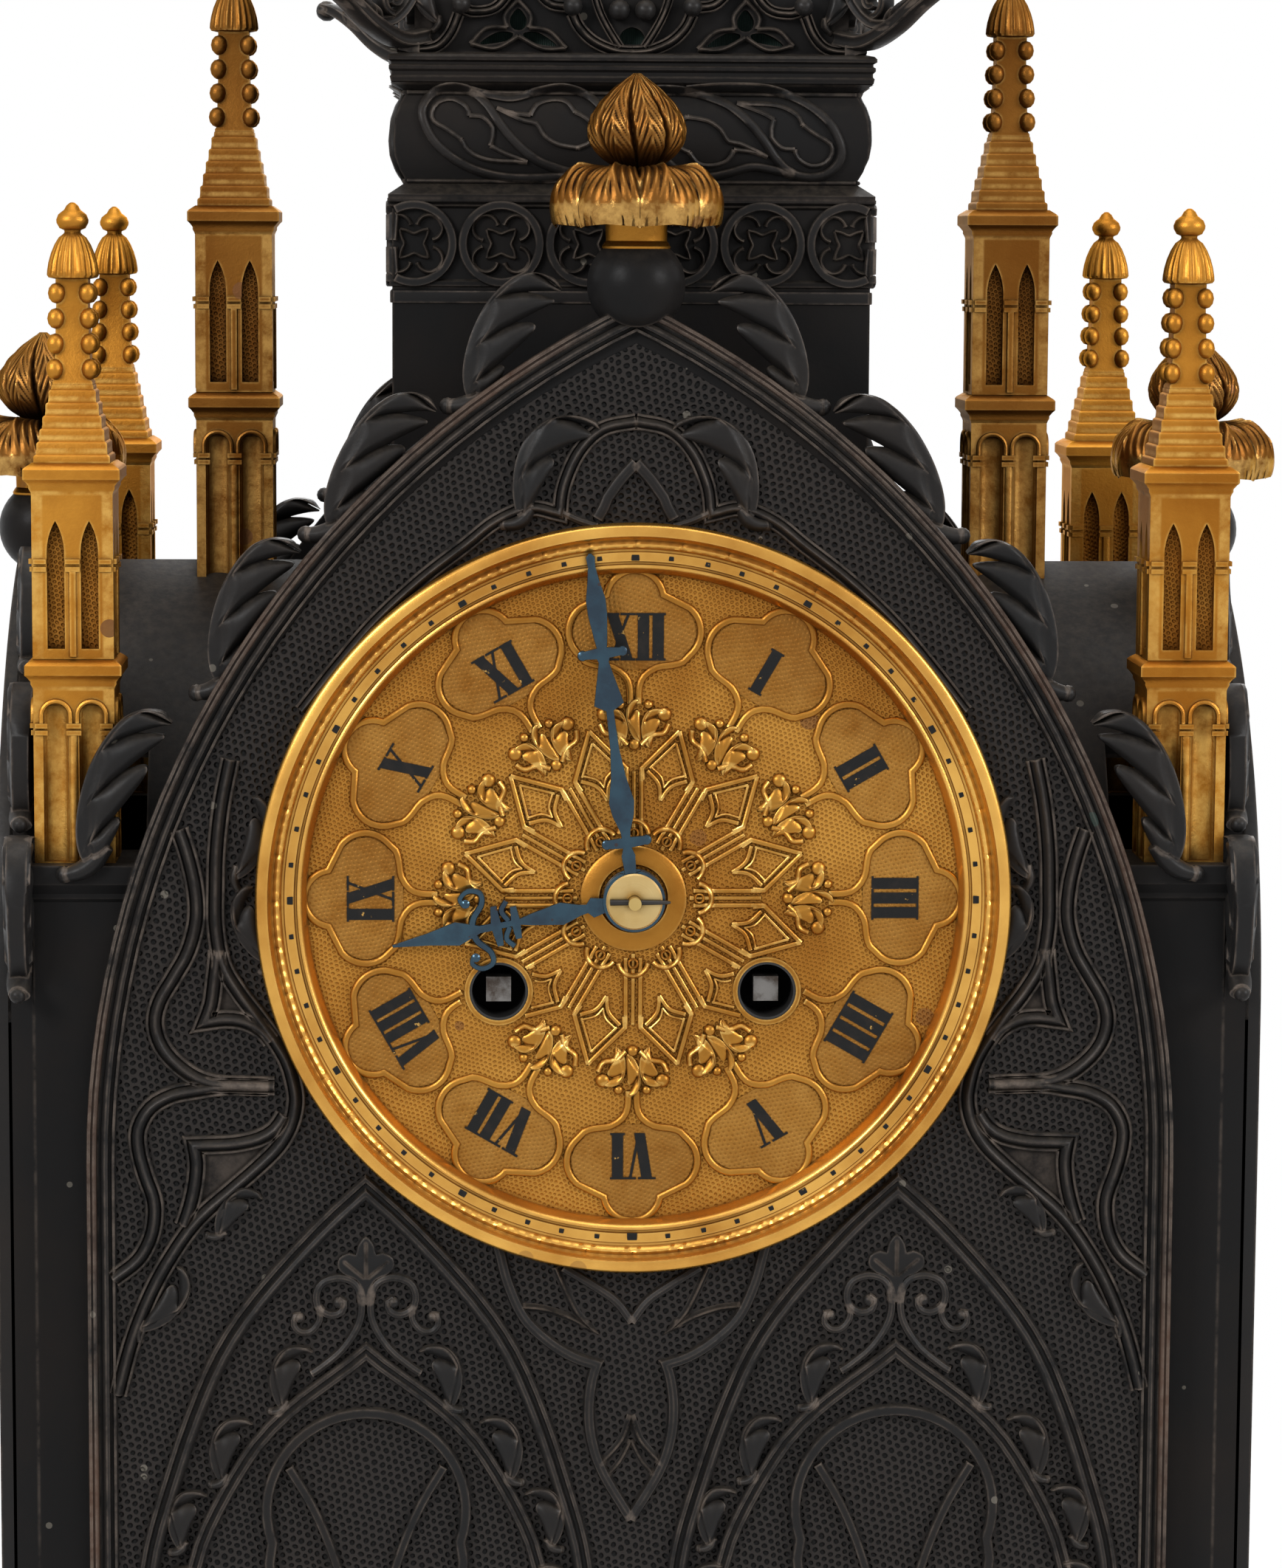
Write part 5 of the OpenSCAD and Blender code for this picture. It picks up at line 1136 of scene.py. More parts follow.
innerSection = [(0, -0.5), (0, 1.1), (-0.25, 1.4), (-0.7, 1.35), (-1.0, 0.8), (-1.35, 0.85), (-1.6, 1.25),
    (-2.1, 1.25), (-2.4, 0.8), (-2.6, -0.5)]


def aboutAxis(line, axis):
    return line + [(2 * axis - u, v) for u, v in reversed(line[:-1])]


def addLancet(shape, place):
    axis = lancet["axis"]
    addBar(shape, aboutAxis(smoothLine(lancet["outer"], 3), axis), 1, 1, place, frameSection)
    addBar(shape, aboutAxis(smoothLine(lancet["inner"], 3), axis), 1, 1, place, innerSection)
    arc = circleLine(axis, 112.6, 15.7, 30, 199, -218)
    jamb = smoothLine(lancet["ring"], 3)
    ring = jamb[:-1] + arc + [(2 * axis - u, v) for u, v in reversed(jamb[:-1])]
    addBar(shape, ring, 1.7, 1.5, place, "flat")
    for s in (1, -1):
        flip = shifted(place, axis, 0, flip=s)
        local = [(u - axis, v) for u, v in lancet["mullion"]]
        addBar(shape, smoothLine(local, 2), 1.4, 1.2, flip, "flat")
        stem = [(-8.6, 134.6), (-7.2, 135.5), (-3.7, 138.5), (-1.2, 142.5), (-0.7, 146), (-1.7, 149),
            (-4.2, 150), (-6.8, 149.2), (-7.8, 147.2), (-7.3, 145), (-5.4, 144), (-3.8, 144.6), (-3.5, 146),
            (-4.4, 146.6)]
        addBar(shape, smoothLine(stem, 0.6), 1.35, 1.1, flip, "round")
        addBall(shape, flip, -4.3, 146.0, 0.5, 0.95, 0.9)
        curl = [(-7.3, 145.4), (-7.3, 143.2), (-8.6, 141.5), (-10.2, 141.3), (-11.3, 142.4), (-11.1, 143.8),
            (-10.2, 143.9)]
        addBar(shape, smoothLine(curl, 0.5), 1.2, 1.0, flip, "round")
        addBall(shape, flip, -10.4, 143.6, 0.5, 0.85, 0.9)
        for foot, tip in lancet["leaves"]:
            addLeaf(shape, flip, foot, tip, 5.2, 1.9, side=1, lobes=2, bend=0.08)
    addBar(shape, [(axis, 82), (axis, 54)], 1.6, 1.4, place, "flat")
    tree = [(-1.1, 146), (-1.2, 149.2), (-3.2, 150.4), (-4.4, 151.6), (-4.2, 153.2), (-2.6, 154),
        (-1.6, 153.7), (-1.3, 155.1), (0, 156.6), (1.3, 155.1), (1.6, 153.7), (2.6, 154), (4.2, 153.2),
        (4.4, 151.6), (3.2, 150.4), (1.2, 149.2), (1.1, 146)]
    addPlate(shape, [smoothLine(tree, 0.5, True)], 0.9, shifted(place, axis, 0), bevel=0.25)
    for u, v, e in ((0, 155.6, 150), (-3.4, 152.6, 150), (3.4, 152.6, 150)):
        addBar(shape, [(axis + u * 0.1, e), (axis + u, v)], 0.5, 1.25, place, "ridge")


centreMotif = [
    ([[(-22, 158), (-20.8, 154), (-19.5, 149), (-17, 143.5), (-13, 139.5), (-9, 137), (-5.5, 135.8)],
        [(-5.5, 135.8), (-6.2, 133.5), (-6.7, 129), (-6.3, 124), (-4.5, 118.5), (0, 110.8)]], 1.9, 1.3),
    ([[(-10.8, 151.5), (-6, 148.5), (-2.5, 146), (0, 142.7)]], 1.5, 1.1),
    ([[(-12, 151.5), (-10.3, 147.5), (-8.5, 144), (-6.3, 141.5)], [(-6.3, 141.5), (-10, 143.5), (-14, 144.8),
        (-17.2, 145.1)]], 1.3, 1.0),
    ([[(0, 127.5), (-1.5, 123.5), (-4.9, 119.6)]], 1.3, 1.0),
    ([[(0, 123.5), (-1.8, 120), (-4.0, 117.6)]], 1.0, 0.8),
]
gableArch = [[(0, 284.4), (5.2, 283.2), (8.8, 279.7), (11.1, 274.5), (11.7, 270.1)],
    [(11.7, 270.1), (16.4, 271), (21.6, 268.9), (26.3, 265.2), (33, 260), (40, 253.5), (46, 246.5),
        (51.5, 239.5)]]


def makeFront():
    ground, relief, leaves, darkShade, field = Shape(), Shape(), Shape(), Shape(), Shape()
    hole = circleLine(0, case["dialZ"], wall["hole"], 120)
    outline = archLine(*wall["arch"], wall["base"])
    addPlate(ground, [outline, hole], wall["thick"], plane(0, wall["depth"]))
    face = plane(0, wall["depth"] + wall["thick"])
    inside = archInside(*wall["arch"], wall["base"] + 1, 4.2)
    addPlate(field, [inside, circleLine(0, case["dialZ"], wall["hole"] + 0.5, 120)], 0.12, face)
    makePiece("frontField", field, "bronzePunched", smooth=30)
    edge, strip = archLine(*wall["arch"], wall["base"] + 0.1), Shape()
    addBar(relief, edge, 1, 1, face, edgeSection)
    addBar(strip, edge, 1, 1, face, stripSection)
    makePiece("frontStrip", strip, "bronzeStrip", smooth=45)
    for s in (1, -1):
        side = shifted(face, 0, 0, flip=s)
        for line in tracery:
            addBar(relief, joinLines(*line), wall["traceryW"], wall["traceryH"], side, "grooved")
        # Plain plates over the small tracery hollows: painted shade
        for pocket in shadePockets:
            addPlate(darkShade, [pocket], 0.15, side)
        for foot, tip, turn in wallLeaves:
            addLeaf(leaves, side, foot, tip, 4.6, 1.7, side=turn, lobes=2, bend=0.06)
        addLancet(relief, side)
        for line, width, height in centreMotif:
            addBar(relief, joinLines(*line), width, height, side, "ridge" if height < 1.05 else "round")
        addBar(relief, joinLines(*gableArch), 2.6, 1.5, side, "grooved")
        addBar(relief, joinLines([(0, 278), (-2.2, 275.6), (-4.3, 272.7)], [(-4.3, 272.7), (-4.9, 271.2),
            (-5.9, 269.4)]), 2.0, 1.3, side, "round")
        addBar(relief, joinLines([(11.5, 270.3), (8.6, 269.0), (5.9, 268.2)]), 1.2, 1.0, side, "round")
        addLeaf(leaves, side, (-19.6, 270.9), (-6.6, 284.2), 7.4, 2.2, side=1, lobes=3, bend=0.12)
    addBar(relief, [(-80, 54), (80, 54)], 3.2, 1.9, face, "grooved")
    makePiece("frontWall", ground, "bronzePlain", replaces=["front_facade"], smooth=30)
    makePiece("frontTracery", relief, "bronze", smooth=45)
    makePiece("frontLeaves", leaves, "bronze", smooth=50)
    makePiece("frontPockets", darkShade, "bronzePlain", smooth=30)


def makeBack():
    ground, relief = Shape(), Shape()
    hole = circleLine(0, case["dialZ"], wall["hole"], 120)
    outline = archLine(*wall["arch"], wall["base"])
    addPlate(ground, [outline, hole], wall["thick"], plane(180, wall["depth"]))
    face = plane(180, wall["depth"] + wall["thick"])
    edge = archLine(*wall["arch"], wall["base"] + 0.1)
    addBar(relief, edge, 1, 1, face, edgeSection)
    addBar(relief, edge, 1, 1, face, stripSection)
    addBar(relief, archInside(*wall["arch"], 54, 10), 1.4, 0.9, face, "round")
    for s in (1, -1):
        side = shifted(face, 0, 0, flip=s)
        for line in tracery[:3]:
            addBar(relief, joinLines(*line), wall["traceryW"] * 0.8, 1.3, side, "twin")
    addBar(relief, [(-80, 54), (80, 54)], 3.2, 1.9, face, "grooved")
    makePiece("backWall", ground, "bronzePlain", replaces=["back_facade"], smooth=30)
    makePiece("backMouldings", relief, "bronze", smooth=45)


gableLeaves = [((-28.5, 189), (-19, 202)), ((-38.2, 165), (-32.5, 179.5)), ((-15.5, 209), (-6.5, 217.5))]


def makeSides():
    ground, relief, leaves, field = Shape(), Shape(), Shape(), Shape()
    for angle in (90, 270):
        outline = archLine(*wall["sideArch"], wall["base"])
        addPlate(ground, [outline], wall["thick"], plane(angle, wall["sideDepth"]))
        face = plane(angle, wall["sideDepth"] + wall["thick"])
        inside = archInside(*wall["sideArch"], wall["base"] + 1, 4.2)
        addPlate(field, [inside], 0.12, face)
        edge = archLine(*wall["sideArch"], wall["base"] + 0.1)
        addBar(relief, edge, 1, 1, face, edgeSection)
        addBar(relief, edge, 1, 1, face, stripSection)
        addBar(relief, [(-48, 54), (48, 54)], 3.2, 1.9, face, "grooved")
        addBar(relief, archLine(39, 150, 58, 54), 1, 1, face, frameSection)
        addBar(relief, circleLine(0, 175, 15, 40), 1.8, 1.5, face, "grooved", closed=True)
        for k in range(4):
            turn = rotated(face, 90 * k + 45, 0, 175)
            addBar(relief, circleLine(0, 6.6, 4.6, 16, -48, 276), 1.3, 1.1, turn, "round")
        for s in (1, -1):
            side = shifted(face, 0, 0, flip=s)
            addBar(relief, archLine(16.4, 120, 32, 54, 17.4), 1, 1, side, innerSection)
            addBar(relief, archLine(10.4, 112, 20, 54, 17.4), 1.4, 1.2, side, "flat")
            for foot, tip in gableLeaves:
                addLeaf(leaves, side, foot, tip, 6, 1.9, side=1, lobes=3)
            addLeaf(leaves, side, (10.6, 141), (16, 149), 5, 1.7, side=-1, lobes=2)
            addLeaf(leaves, side, (2.2, 128), (6.2, 137), 4.4, 1.7, side=-1, lobes=2)
        addBar(relief, [(0, 58), (0, 118)], 1.8, 1.5, face, "flat")
    makePiece("sideWalls", ground, "bronzePlain", replaces=["side_gables"], smooth=30)
    makePiece("sideField", field, "bronzePunched", smooth=30)
    makePiece("sideTracery", relief, "bronze", smooth=45)
    makePiece("sideLeaves", leaves, "bronze", smooth=50)


crocketPlaces = {
    "front": [((-24.3, 286.2), (-9.3, 302.6)), ((-46.0, 266.4), (-28.6, 284.0)),
        ((-63.0, 242.6), (-49.3, 262.6)), ((-83.6, 214.4), (-69.3, 236.0))],
    "side": [((-30.2, 243.4), (-14.6, 257.6)), ((-46.6, 221.4), (-35.4, 239.2)),
        ((-53.2, 196.8), (-47.4, 217.8))],
}


def makeCrockets():
    shape = Shape()
    for angles, depth, places, width, height, fine in (((0, 180), 54.6, "front", 10.0, 2.5, 0.025),
            ((90, 270), 95.7, "side", 9.6, 2.4, 0.03)):
        for angle in angles:
            for s in (1, -1):
                place = shifted(plane(angle, depth), 0, 0, flip=s)
                for foot, tip in crocketPlaces[places]:
                    addLeaf(shape, place, foot, tip, width, height, 1, 5, both=True, centre=0.0, fine=fine)
    makePiece("crocketLeaves", shape, "bronze", replaces=["crockets"], smooth=50)


makeFront()
makeBack()
makeSides()
makeCrockets()
print("walls and crockets")


# Half width, then heights of the storeys from below, then how far the cornices and niches go out and in
pinnacle = {
    "half": 6.3, "low": 27.6, "cornice": 4.4, "up": 26.0, "step": 12.0, "neck": 16.4, "out": 1.2,
    "recess": 1.5,
}


def nicheLine(u, half, z0, spring, rise):
    if rise > half:
        return archLine(half, spring, rise, z0, u, 8)
    turns = [math.pi * i / 16 for i in range(17)]
    return [(u - half, z0), *[(u - half * math.cos(a), spring + rise * math.sin(a)) for a in turns],
        (u + half, z0)]


def makeOnePinnacle():
    p, shape, ground = pinnacle, Shape(), Shape()
    z1 = p["low"]
    z2 = z1 + p["cornice"]
    z3 = z2 + p["up"]
    z4 = z3 + p["cornice"]
    z5 = z4 + p["step"]
    z6 = z5 + p["neck"]
    half, deep = p["half"], p["recess"]
    wide = half - 0.03
    up = upright(0, 0, 0)
    core = half - deep
    addSquare(shape, [(core, 0), (core, z4)], up)
    for k in range(4):
        panel = [(-core + 0.02, z2), (core - 0.02, z2), (core - 0.02, z3), (-core + 0.02, z3)]
        addPlate(ground, [panel], 0.06, plane(90 * k, core))
        face = plane(90 * k, core)
        lows = [nicheLine(s * 2.78, 2.0, 0.25, z1 - 4.4, 2.0) for s in (-1, 1)]
        addPlate(shape, [[(-wide, 0), (wide, 0), (wide, z1), (-wide, z1)], *lows], deep, face)
        ups = [nicheLine(s * 2.62, 1.35, z2 + 1.6, z3 - 9.5, 5.0) for s in (-1, 1)]
        addPlate(shape, [[(-wide, z2), (wide, z2), (wide, z3), (-wide, z3)], *ups], deep, face)
        front = plane(90 * k, half)
        for s in (-1, 1):
            arch = nicheLine(s * 2.78, 2.25, z1 - 5.6, z1 - 4.4, 2.25)
            addBar(shape, arch, 0.75, 0.55, front, "round")
            hollow = [(-0.5, -0.9), (-0.5, 0.9), (-0.36, 0.3), (-0.14, 0.06), (0.14, 0.06), (0.36, 0.3),
                (0.5, 0.9), (0.5, -0.9)]
            addBar(shape, [(s * 2.78, 0.1), (s * 2.78, z1 - 3.0)], 4.0, 1.0, plane(90 * k, core), hollow)
        for u in (-5.35, 0, 5.35):
            w = 1.15 if u == 0 else 1.0
            for z, e in ((z1 - 6.4, 0.85), (z1 - 7.5, 0.6), (z3 - 11.2, 0.8), (z3 - 12.4, 0.55)):
                edge = 0 if u == 0 else (0.3 if u < 0 else -0.3)
                addBlock(shape, front, u - w + edge, u + w + edge, z, z + 0.75, -0.2, e * 0.62)
            if u == 0:
                addBar(shape, [(0, z2 + 0.4), (0, z3 - 12.4)], 1.3, 0.42, front, "round")
                addBar(shape, [(0, 0.3), (0, z1 - 7.5)], 1.2, 0.3, front, "round")
    o, c = p["out"], p["cornice"]
    for z in (z1, z3):
        addSquare(shape, [(half, z - 0.3), (half + 0.1, z), (half + 0.35, z + 0.5), (half + 0.35, z + 0.9),
            (half + 0.8, z + 1.5), (half + o, z + 1.9), (half + o, z + 3.4), (half + o - 0.25, z + 3.7),
            (half - 0.1, z + c)], up)
    for i in range(6):
        outer = 5.9 - 0.45 * i
        zi = z4 + i * p["step"] / 6
        addSquare(shape, [(outer, zi - 0.3), (outer, zi + 0.9), (outer - 0.1, zi + 1.1),
            (outer - 0.38, zi + 1.3), (outer - 0.45, zi + 2.0)], up)
    addSquare(shape, [(3.1, z5 - 0.3), (3.1, z5 + 0.4), (2.8, z5 + 0.9), (2.35, z6 - 1.2), (2.5, z6 - 0.7),
        (2.5, z6)], up)
    for i in range(4):
        z = z5 + 2.4 + 3.9 * i
        reach = 2.75 - 0.13 * i
        for sx in (-1, 1):
            for sy in (-1, 1):
                addBall(shape, up, sx * reach, sy * reach, min(z, z6 - 1.2), 1.35, 1.2, 12)
    petals = [(1.9, -0.2), (2.6, -0.15), (3.9, 0.1), (4.15, 0.5), (4.1, 1.2), (3.9, 2.4), (3.5, 3.8),
        (2.9, 5.2), (2.2, 6.3), (1.5, 6.8), (1.25, 7.1), (1.3, 7.4), (2.0, 7.7), (2.45, 8.5), (2.5, 9.0),
        (2.2, 9.8), (1.6, 10.3), (1.3, 10.5), (0.9, 11.2), (0.35, 11.65), (0.02, 11.7)]

    def fluted(a, part):
        if part > 0.48:
            return 1.0
        lobe = 1 - 0.15 * (1 - abs(math.sin(2 * a)) ** 0.5) * (1 if part > 0.1 else 0.5)
        return lobe * (1 + 0.03 * math.cos(24 * a)) if part > 0.12 else lobe
    addTurned(shape, [(r, z + z6) for r, z in petals], up, 144, fluted)
    return shape, ground


def makePinnacles():
    one, core = makeOnePinnacle()
    groups = {
        "corner": ([(sx * 87.1, sy * 45.0, 215.0) for sx in (-1, 1) for sy in (-1, 1)],
            "gilt", "giltPunched"),
        "ridge": ([(s * 64.0, 0.0, 255.0) for s in (-1, 1)], "giltBrown", "brownPunched"),
    }
    for name, (spots, look, groundLook) in groups.items():
        shape, ground = Shape(), Shape()
        for x, y, z in spots:
            shape.merge(one, upright(x, y, z))
            ground.merge(core, upright(x, y, z))
        makePiece(name + "PinnacleStages", shape, look, replaces=["pinnacles"], smooth=38)
        makePiece(name + "PinnacleGrounds", ground, groundLook, smooth=30)


# Bud: collar, skirt of eight blades, ribbed bulb
def makeBud(shape, foot, place, skirt=13.5, bulb=7.55):
    collar = [(4.5, -1.0), (4.5, -0.3), (5.15, -0.2), (5.3, 0.35), (4.95, 0.9), (4.7, 1.2), (4.8, 5.0),
        (5.4, 7.2), (5.9, 8.8)]
    k = skirt / 13.5
    addTurned(foot, [(r * k, z * k) for r, z in collar], place, 48)
    rows, segs = 24, 320
    points, faces = [], []

    def blade(a):
        return 1 - abs(2 * ((a / tau * 8) % 1.0) - 1)
    for under in (0, 1):
        for i in range(rows + 1):
            t = i / rows
            for j in range(segs):
                a = tau * j / segs
                b = blade(a)
                r = 3.6 + 10.5 * math.sin(math.pi * min(1, 1.06 * t) / 2) ** 0.85 - 0.5 * t ** 8
                r *= 1 - 0.09 * t * t * (1 - b) ** 1.6
                z = 12.4 - 8.0 * (1 - math.cos(math.pi * t / 2)) ** 1.15
                z += 0.8 * math.sin(math.pi * t) * b - 0.4 * t ** 3 * (1 - b)
                if under:
                    z -= 1.2 - 0.5 * t
                    r -= 0.25 * t
                else:
                    z += 0.3 * math.cos(tau * (b * 3.2 + t * 2.4)) * min(1, 3 * t)
                    z -= 1.1 * math.exp(-(b / 0.13) ** 2) * (1 - 0.4 * t)
                    z += 0.5 * math.exp(-((b - 1) / 0.08) ** 2) * min(1, 3 * t)
                points.append((r * k * math.cos(a), r * k * math.sin(a), z * k))
    size = (rows + 1) * segs
    for i in range(rows):
        for j in range(segs):
            n = (j + 1) % segs
            a, b, c, d = i * segs + j, i * segs + n, (i + 1) * segs + n, (i + 1) * segs + j
            faces.append((a, b, c, d))
            faces.append((size + d, size + c, size + b, size + a))
    for j in range(segs):
        n = (j + 1) % segs
        faces.append((n, j, size + j, size + n))
        faces.append((rows * segs + j, rows * segs + n, size + rows * segs + n, size + rows * segs + j))
    shape.add(points, faces, place)
    profile = [(3.0, 12.0)]
    for i in range(1, 41):
        t = i / 40
        r = bulb / k * math.sin(math.pi * t ** 0.82 * 0.93 + 0.2) ** 0.8 if t < 0.985 else 0.6
        profile.append((max(0.4, r), 12.0 + 14.7 * t))

    def ribs(a, part):
        b = blade(a + 0.35 * part)
        seam = 1 - 0.17 * math.exp(-(b / 0.13) ** 2)
        mid = 1 + 0.035 * math.exp(-((1 - b) / 0.12) ** 2)
        return seam * mid * (1 + 0.016 * math.cos(tau * (b * 3.0 - part * 7.0)))
    addTurned(shape, [(r * k, z * k) for r, z in profile], place, 288, ribs)


def makeBuds():
    shape, collars = Shape(), Shape()
    for x, y, z in ((0, -54.5, 310.8), (0, 54.5, 310.8), (-95.7, 0, 269.8), (95.7, 0, 269.8)):
        makeBud(shape, collars, upright(x, y, z))
    makePiece("budCollars", collars, "giltCollar", smooth=40)
    makePiece("budLeaves", shape, "giltBud", replaces=["gable_buds"], smooth=60)
    top = Shape()
    makeBud(top, top, upright(0, 0, 545.7), 10.4, 5.95)
    makePiece("finialLeaves", top, "giltBud", replaces=["spire_finial"], smooth=60)


makePinnacles()
makeBuds()
print("pinnacles and buds")


towerParts = {"half": 37.7, "crownHalf": 34.2, "ring": 6.05, "friezeMid": 311.4}
bandProfile = [(318.5, 0.64), (319.1, 0.64), (320.9, -2.0), (321.5, -2.0), (322.9, -1.2), (325.1, -0.4),
    (327.5, -0.2), (330.9, -0.5), (333.1, -1.2), (334.5, -2.0), (335.3, -2.0), (336.5, 0.2)]


def bandOut(v):
    for (z0, o0), (z1, o1) in zip(bandProfile, bandProfile[1:]):
        if z0 <= v <= z1:
            return o0 + (o1 - o0) * (v - z0) / (z1 - z0)
    return 0.0


def bandPlane(angle):
    flat = plane(angle, towerParts["half"])
    return lambda u, v, h=0.0: flat(u, v, h + bandOut(v))


def addQuatrefoil(shape, face, u, v):
    r = towerParts["ring"]
    limit = (37.2 - abs(u)) / r
    if limit < 1:
        cut = math.degrees(math.acos(max(-1, limit)))
        start = cut if u > 0 else cut - 180
        line = circleLine(u, v, r, 40, start, 360 - 2 * cut)
        addBar(shape, line, 1.4, 1.0, face, "flat")
    else:
        addBar(shape, circleLine(u, v, r, 44), 1.4, 1.0, face, "flat", closed=True)
    for k in range(4):
        a = 45 + 90 * k
        cu, cv = u + 3.5 * math.cos(math.radians(a)), v + 3.5 * math.sin(math.radians(a))
        lobe = [p for p in circleLine(cu, cv, 2.0, 18, a - 122, 244) if abs(p[0]) < 37.3]
        if len(lobe) > 3:
            addBar(shape, lobe, 0.8, 1.0, face, "ridge")
        side = []
        for i in range(9):
            t = i / 8
            b = math.radians(45 + 90 * k + 90 * t)
            reach = 3.15 - 1.6 * math.sin(math.pi * t)
            side.append((u + reach * math.cos(b), v + reach * math.sin(b)))
        if all(abs(p[0]) < 37.4 for p in side):
            addBar(shape, side, 0.6, 0.9, face, "ridge")


scrollLines = [
    ([(-8.5, 322.25), (-14.6, 321.7), (-21.2, 322.0), (-26.8, 323.9), (-31.0, 327.2), (-32.9, 330.9),
        (-32.65, 333.3), (-30.8, 335.2), (-28.2, 335.8), (-25.4, 335.2), (-23.0, 333.3), (-20.7, 330.0),
        (-18.35, 327.2), (-15.5, 324.8), (-12.7, 323.5), (-9.0, 322.5), (-4, 322.2), (0.5, 323.0)], 1.5),
    ([(-25.4, 335.3), (-22.1, 334.6), (-18.8, 334.2), (-14.6, 335.3), (-10.85, 335.8), (-7.1, 334.7),
        (-4.2, 332), (-1.8, 328.9), (0, 328.0)], 1.4),
    ([(-16.5, 324.2), (-20.2, 325.6), (-22.3, 326.7)], 0.8), ([(-22.3, 326.7), (-21.9, 328.2), (-21.9, 329.5),
        (-23.5, 331.2), (-25.6, 331.4)], 0.8),
    ([(-25.6, 331.4), (-26.1, 332.8), (-28.2, 334.0), (-30.5, 333.5), (-31.5, 331.9), (-31.2, 330.5),
        (-29.6, 329.5), (-28.2, 328.6), (-26.8, 327.6)], 0.8),
    ([(-26.8, 327.6), (-26.3, 326.5), (-24.9, 325.3), (-22.1, 324.4), (-16.5, 324.2)], 0.8),
    ([(-21.3, 332.6), (-19.3, 331.9), (-16.0, 331.5)], 0.8), ([(-16.0, 331.5), (-15, 333.2), (-12.7, 334.0),
        (-10.4, 333.7), (-9, 332.0)], 0.8),
    ([(-9, 332.0), (-7.4, 331.2), (-6.0, 329.5), (-6.6, 327.4), (-8.6, 326.4)], 0.8),
    ([(-21.3, 332.6), (-17, 330.6), (-15.1, 330.2), (-13.9, 328.4), (-11.8, 327.0), (-8.6, 326.4)], 0.8),
]


def makeTower():
    frieze, rings, band, scrolls = Shape(), Shape(), Shape(), Shape()
    up = upright(0, 0, 0)
    h = towerParts["half"]
    addSquare(frieze, [(h, 304.75), (h + 0.45, 304.8), (h + 0.45, 305.5), (h, 305.9), (h, 316.9),
        (h + 0.5, 317.3), (h + 0.25, 317.6), (h + 0.75, 318.0), (h + 0.75, 318.5)], up)
    addSquare(band, [(h + o, z) for z, o in bandProfile], up)
    for k in range(4):
        face = plane(90 * k, h)
        for u in (-34.25, -20.55, -6.85, 6.85, 20.55, 34.25):
            addQuatrefoil(rings, face, u, towerParts["friezeMid"])
        addBar(rings, [(-h + 0.1, 303.1), (h - 0.1, 303.1)], 1.9, 0.35, face, "flat")
        curved = bandPlane(90 * k)
        spun = lambda u, v, d=0.0, c=curved: c(-u, 2 * 328.9 - v, d)
        for line, width in scrollLines:
            for place in (curved, spun):
                addBar(scrolls, smoothLine(line, 0.7), width, 0.95 if width > 1 else 0.7, place, "round",
                    base=-0.1)
        for s in (1, -1):
            leaf = smoothLine([(s * 2.5, 332.5), (s * 0.5, 330), (s * -1.5, 326)], 0.6)
            addBar(scrolls, leaf, 1.0, 0.7, curved, "round", base=-0.1)
        addBar(scrolls, [(-35.4, 321.2), (35.4, 321.2)], 0.7, 0.6, curved, "round", base=-0.1)
        addBar(scrolls, [(-35.4, 335.0), (35.4, 335.0)], 0.7, 0.6, curved, "round", base=-0.1)
    makePiece("friezeBlock", frieze, "bronzePlain", replaces=["tower_frieze"], smooth=30)
    makePiece("friezeRings", rings, "bronze", smooth=45)
    makePiece("scrollGround", band, "bronzePlain", replaces=["scroll_band"], smooth=50)
    makePiece("scrollRelief", scrolls, "bronze", smooth=50)


festoon = [
    ([(-36.9, 341.7), (-34, 341.6), (-30.7, 342.1), (-28.6, 344.2), (-27.3, 347.2)], 2.0),
    ([(-27.0, 348.4), (-25.2, 347.6), (-22.2, 347.9), (-20.3, 349.4), (-18.6, 352.5), (-17.6, 356.5)], 1.9),
    ([(-17.6, 356.5), (-16.4, 352.5), (-14.6, 350.4), (-12.7, 348.8), (-9.6, 348.4)], 1.9),
    ([(-9.4, 347.4), (-8.3, 345.2), (-6.1, 343.1), (-2.9, 341.7), (0, 341.4)], 2.1),
]


crownLobes = [
    [(17.9, 348.2), (16.6, 346.6), (16.9, 345.2), (17.9, 344.8), (18.9, 345.2), (19.2, 346.6)],
    [(17.1, 344.3), (15.2, 344.6), (13.2, 343.6), (11.9, 342.4), (14.4, 342.6), (16.4, 343.2)],
    [(18.7, 344.3), (20.6, 344.6), (22.6, 343.8), (23.9, 342.6), (21.4, 342.8), (19.4, 343.3)],
]
crownArches = [(6.8, 356.5, 9.5, 350.5, 26.4), (5.0, 360, 7, 354.5, 9.6)]
crownLines = [
    [(-18, 349.6), (-16.0, 347.2), (-16.2, 345.2)], [(-16.2, 345.2), (-13, 344.6), (-10.4, 342.0)],
    [(-18, 349.6), (-20, 347.2), (-19.7, 345.2)], [(-19.7, 345.2), (-23, 345.0), (-25.4, 342.6)],
    [(-25.4, 342.6), (-21.5, 341.9), (-17.9, 343.8)], [(-17.9, 343.8), (-14, 341.9), (-10.4, 342.0)],
]


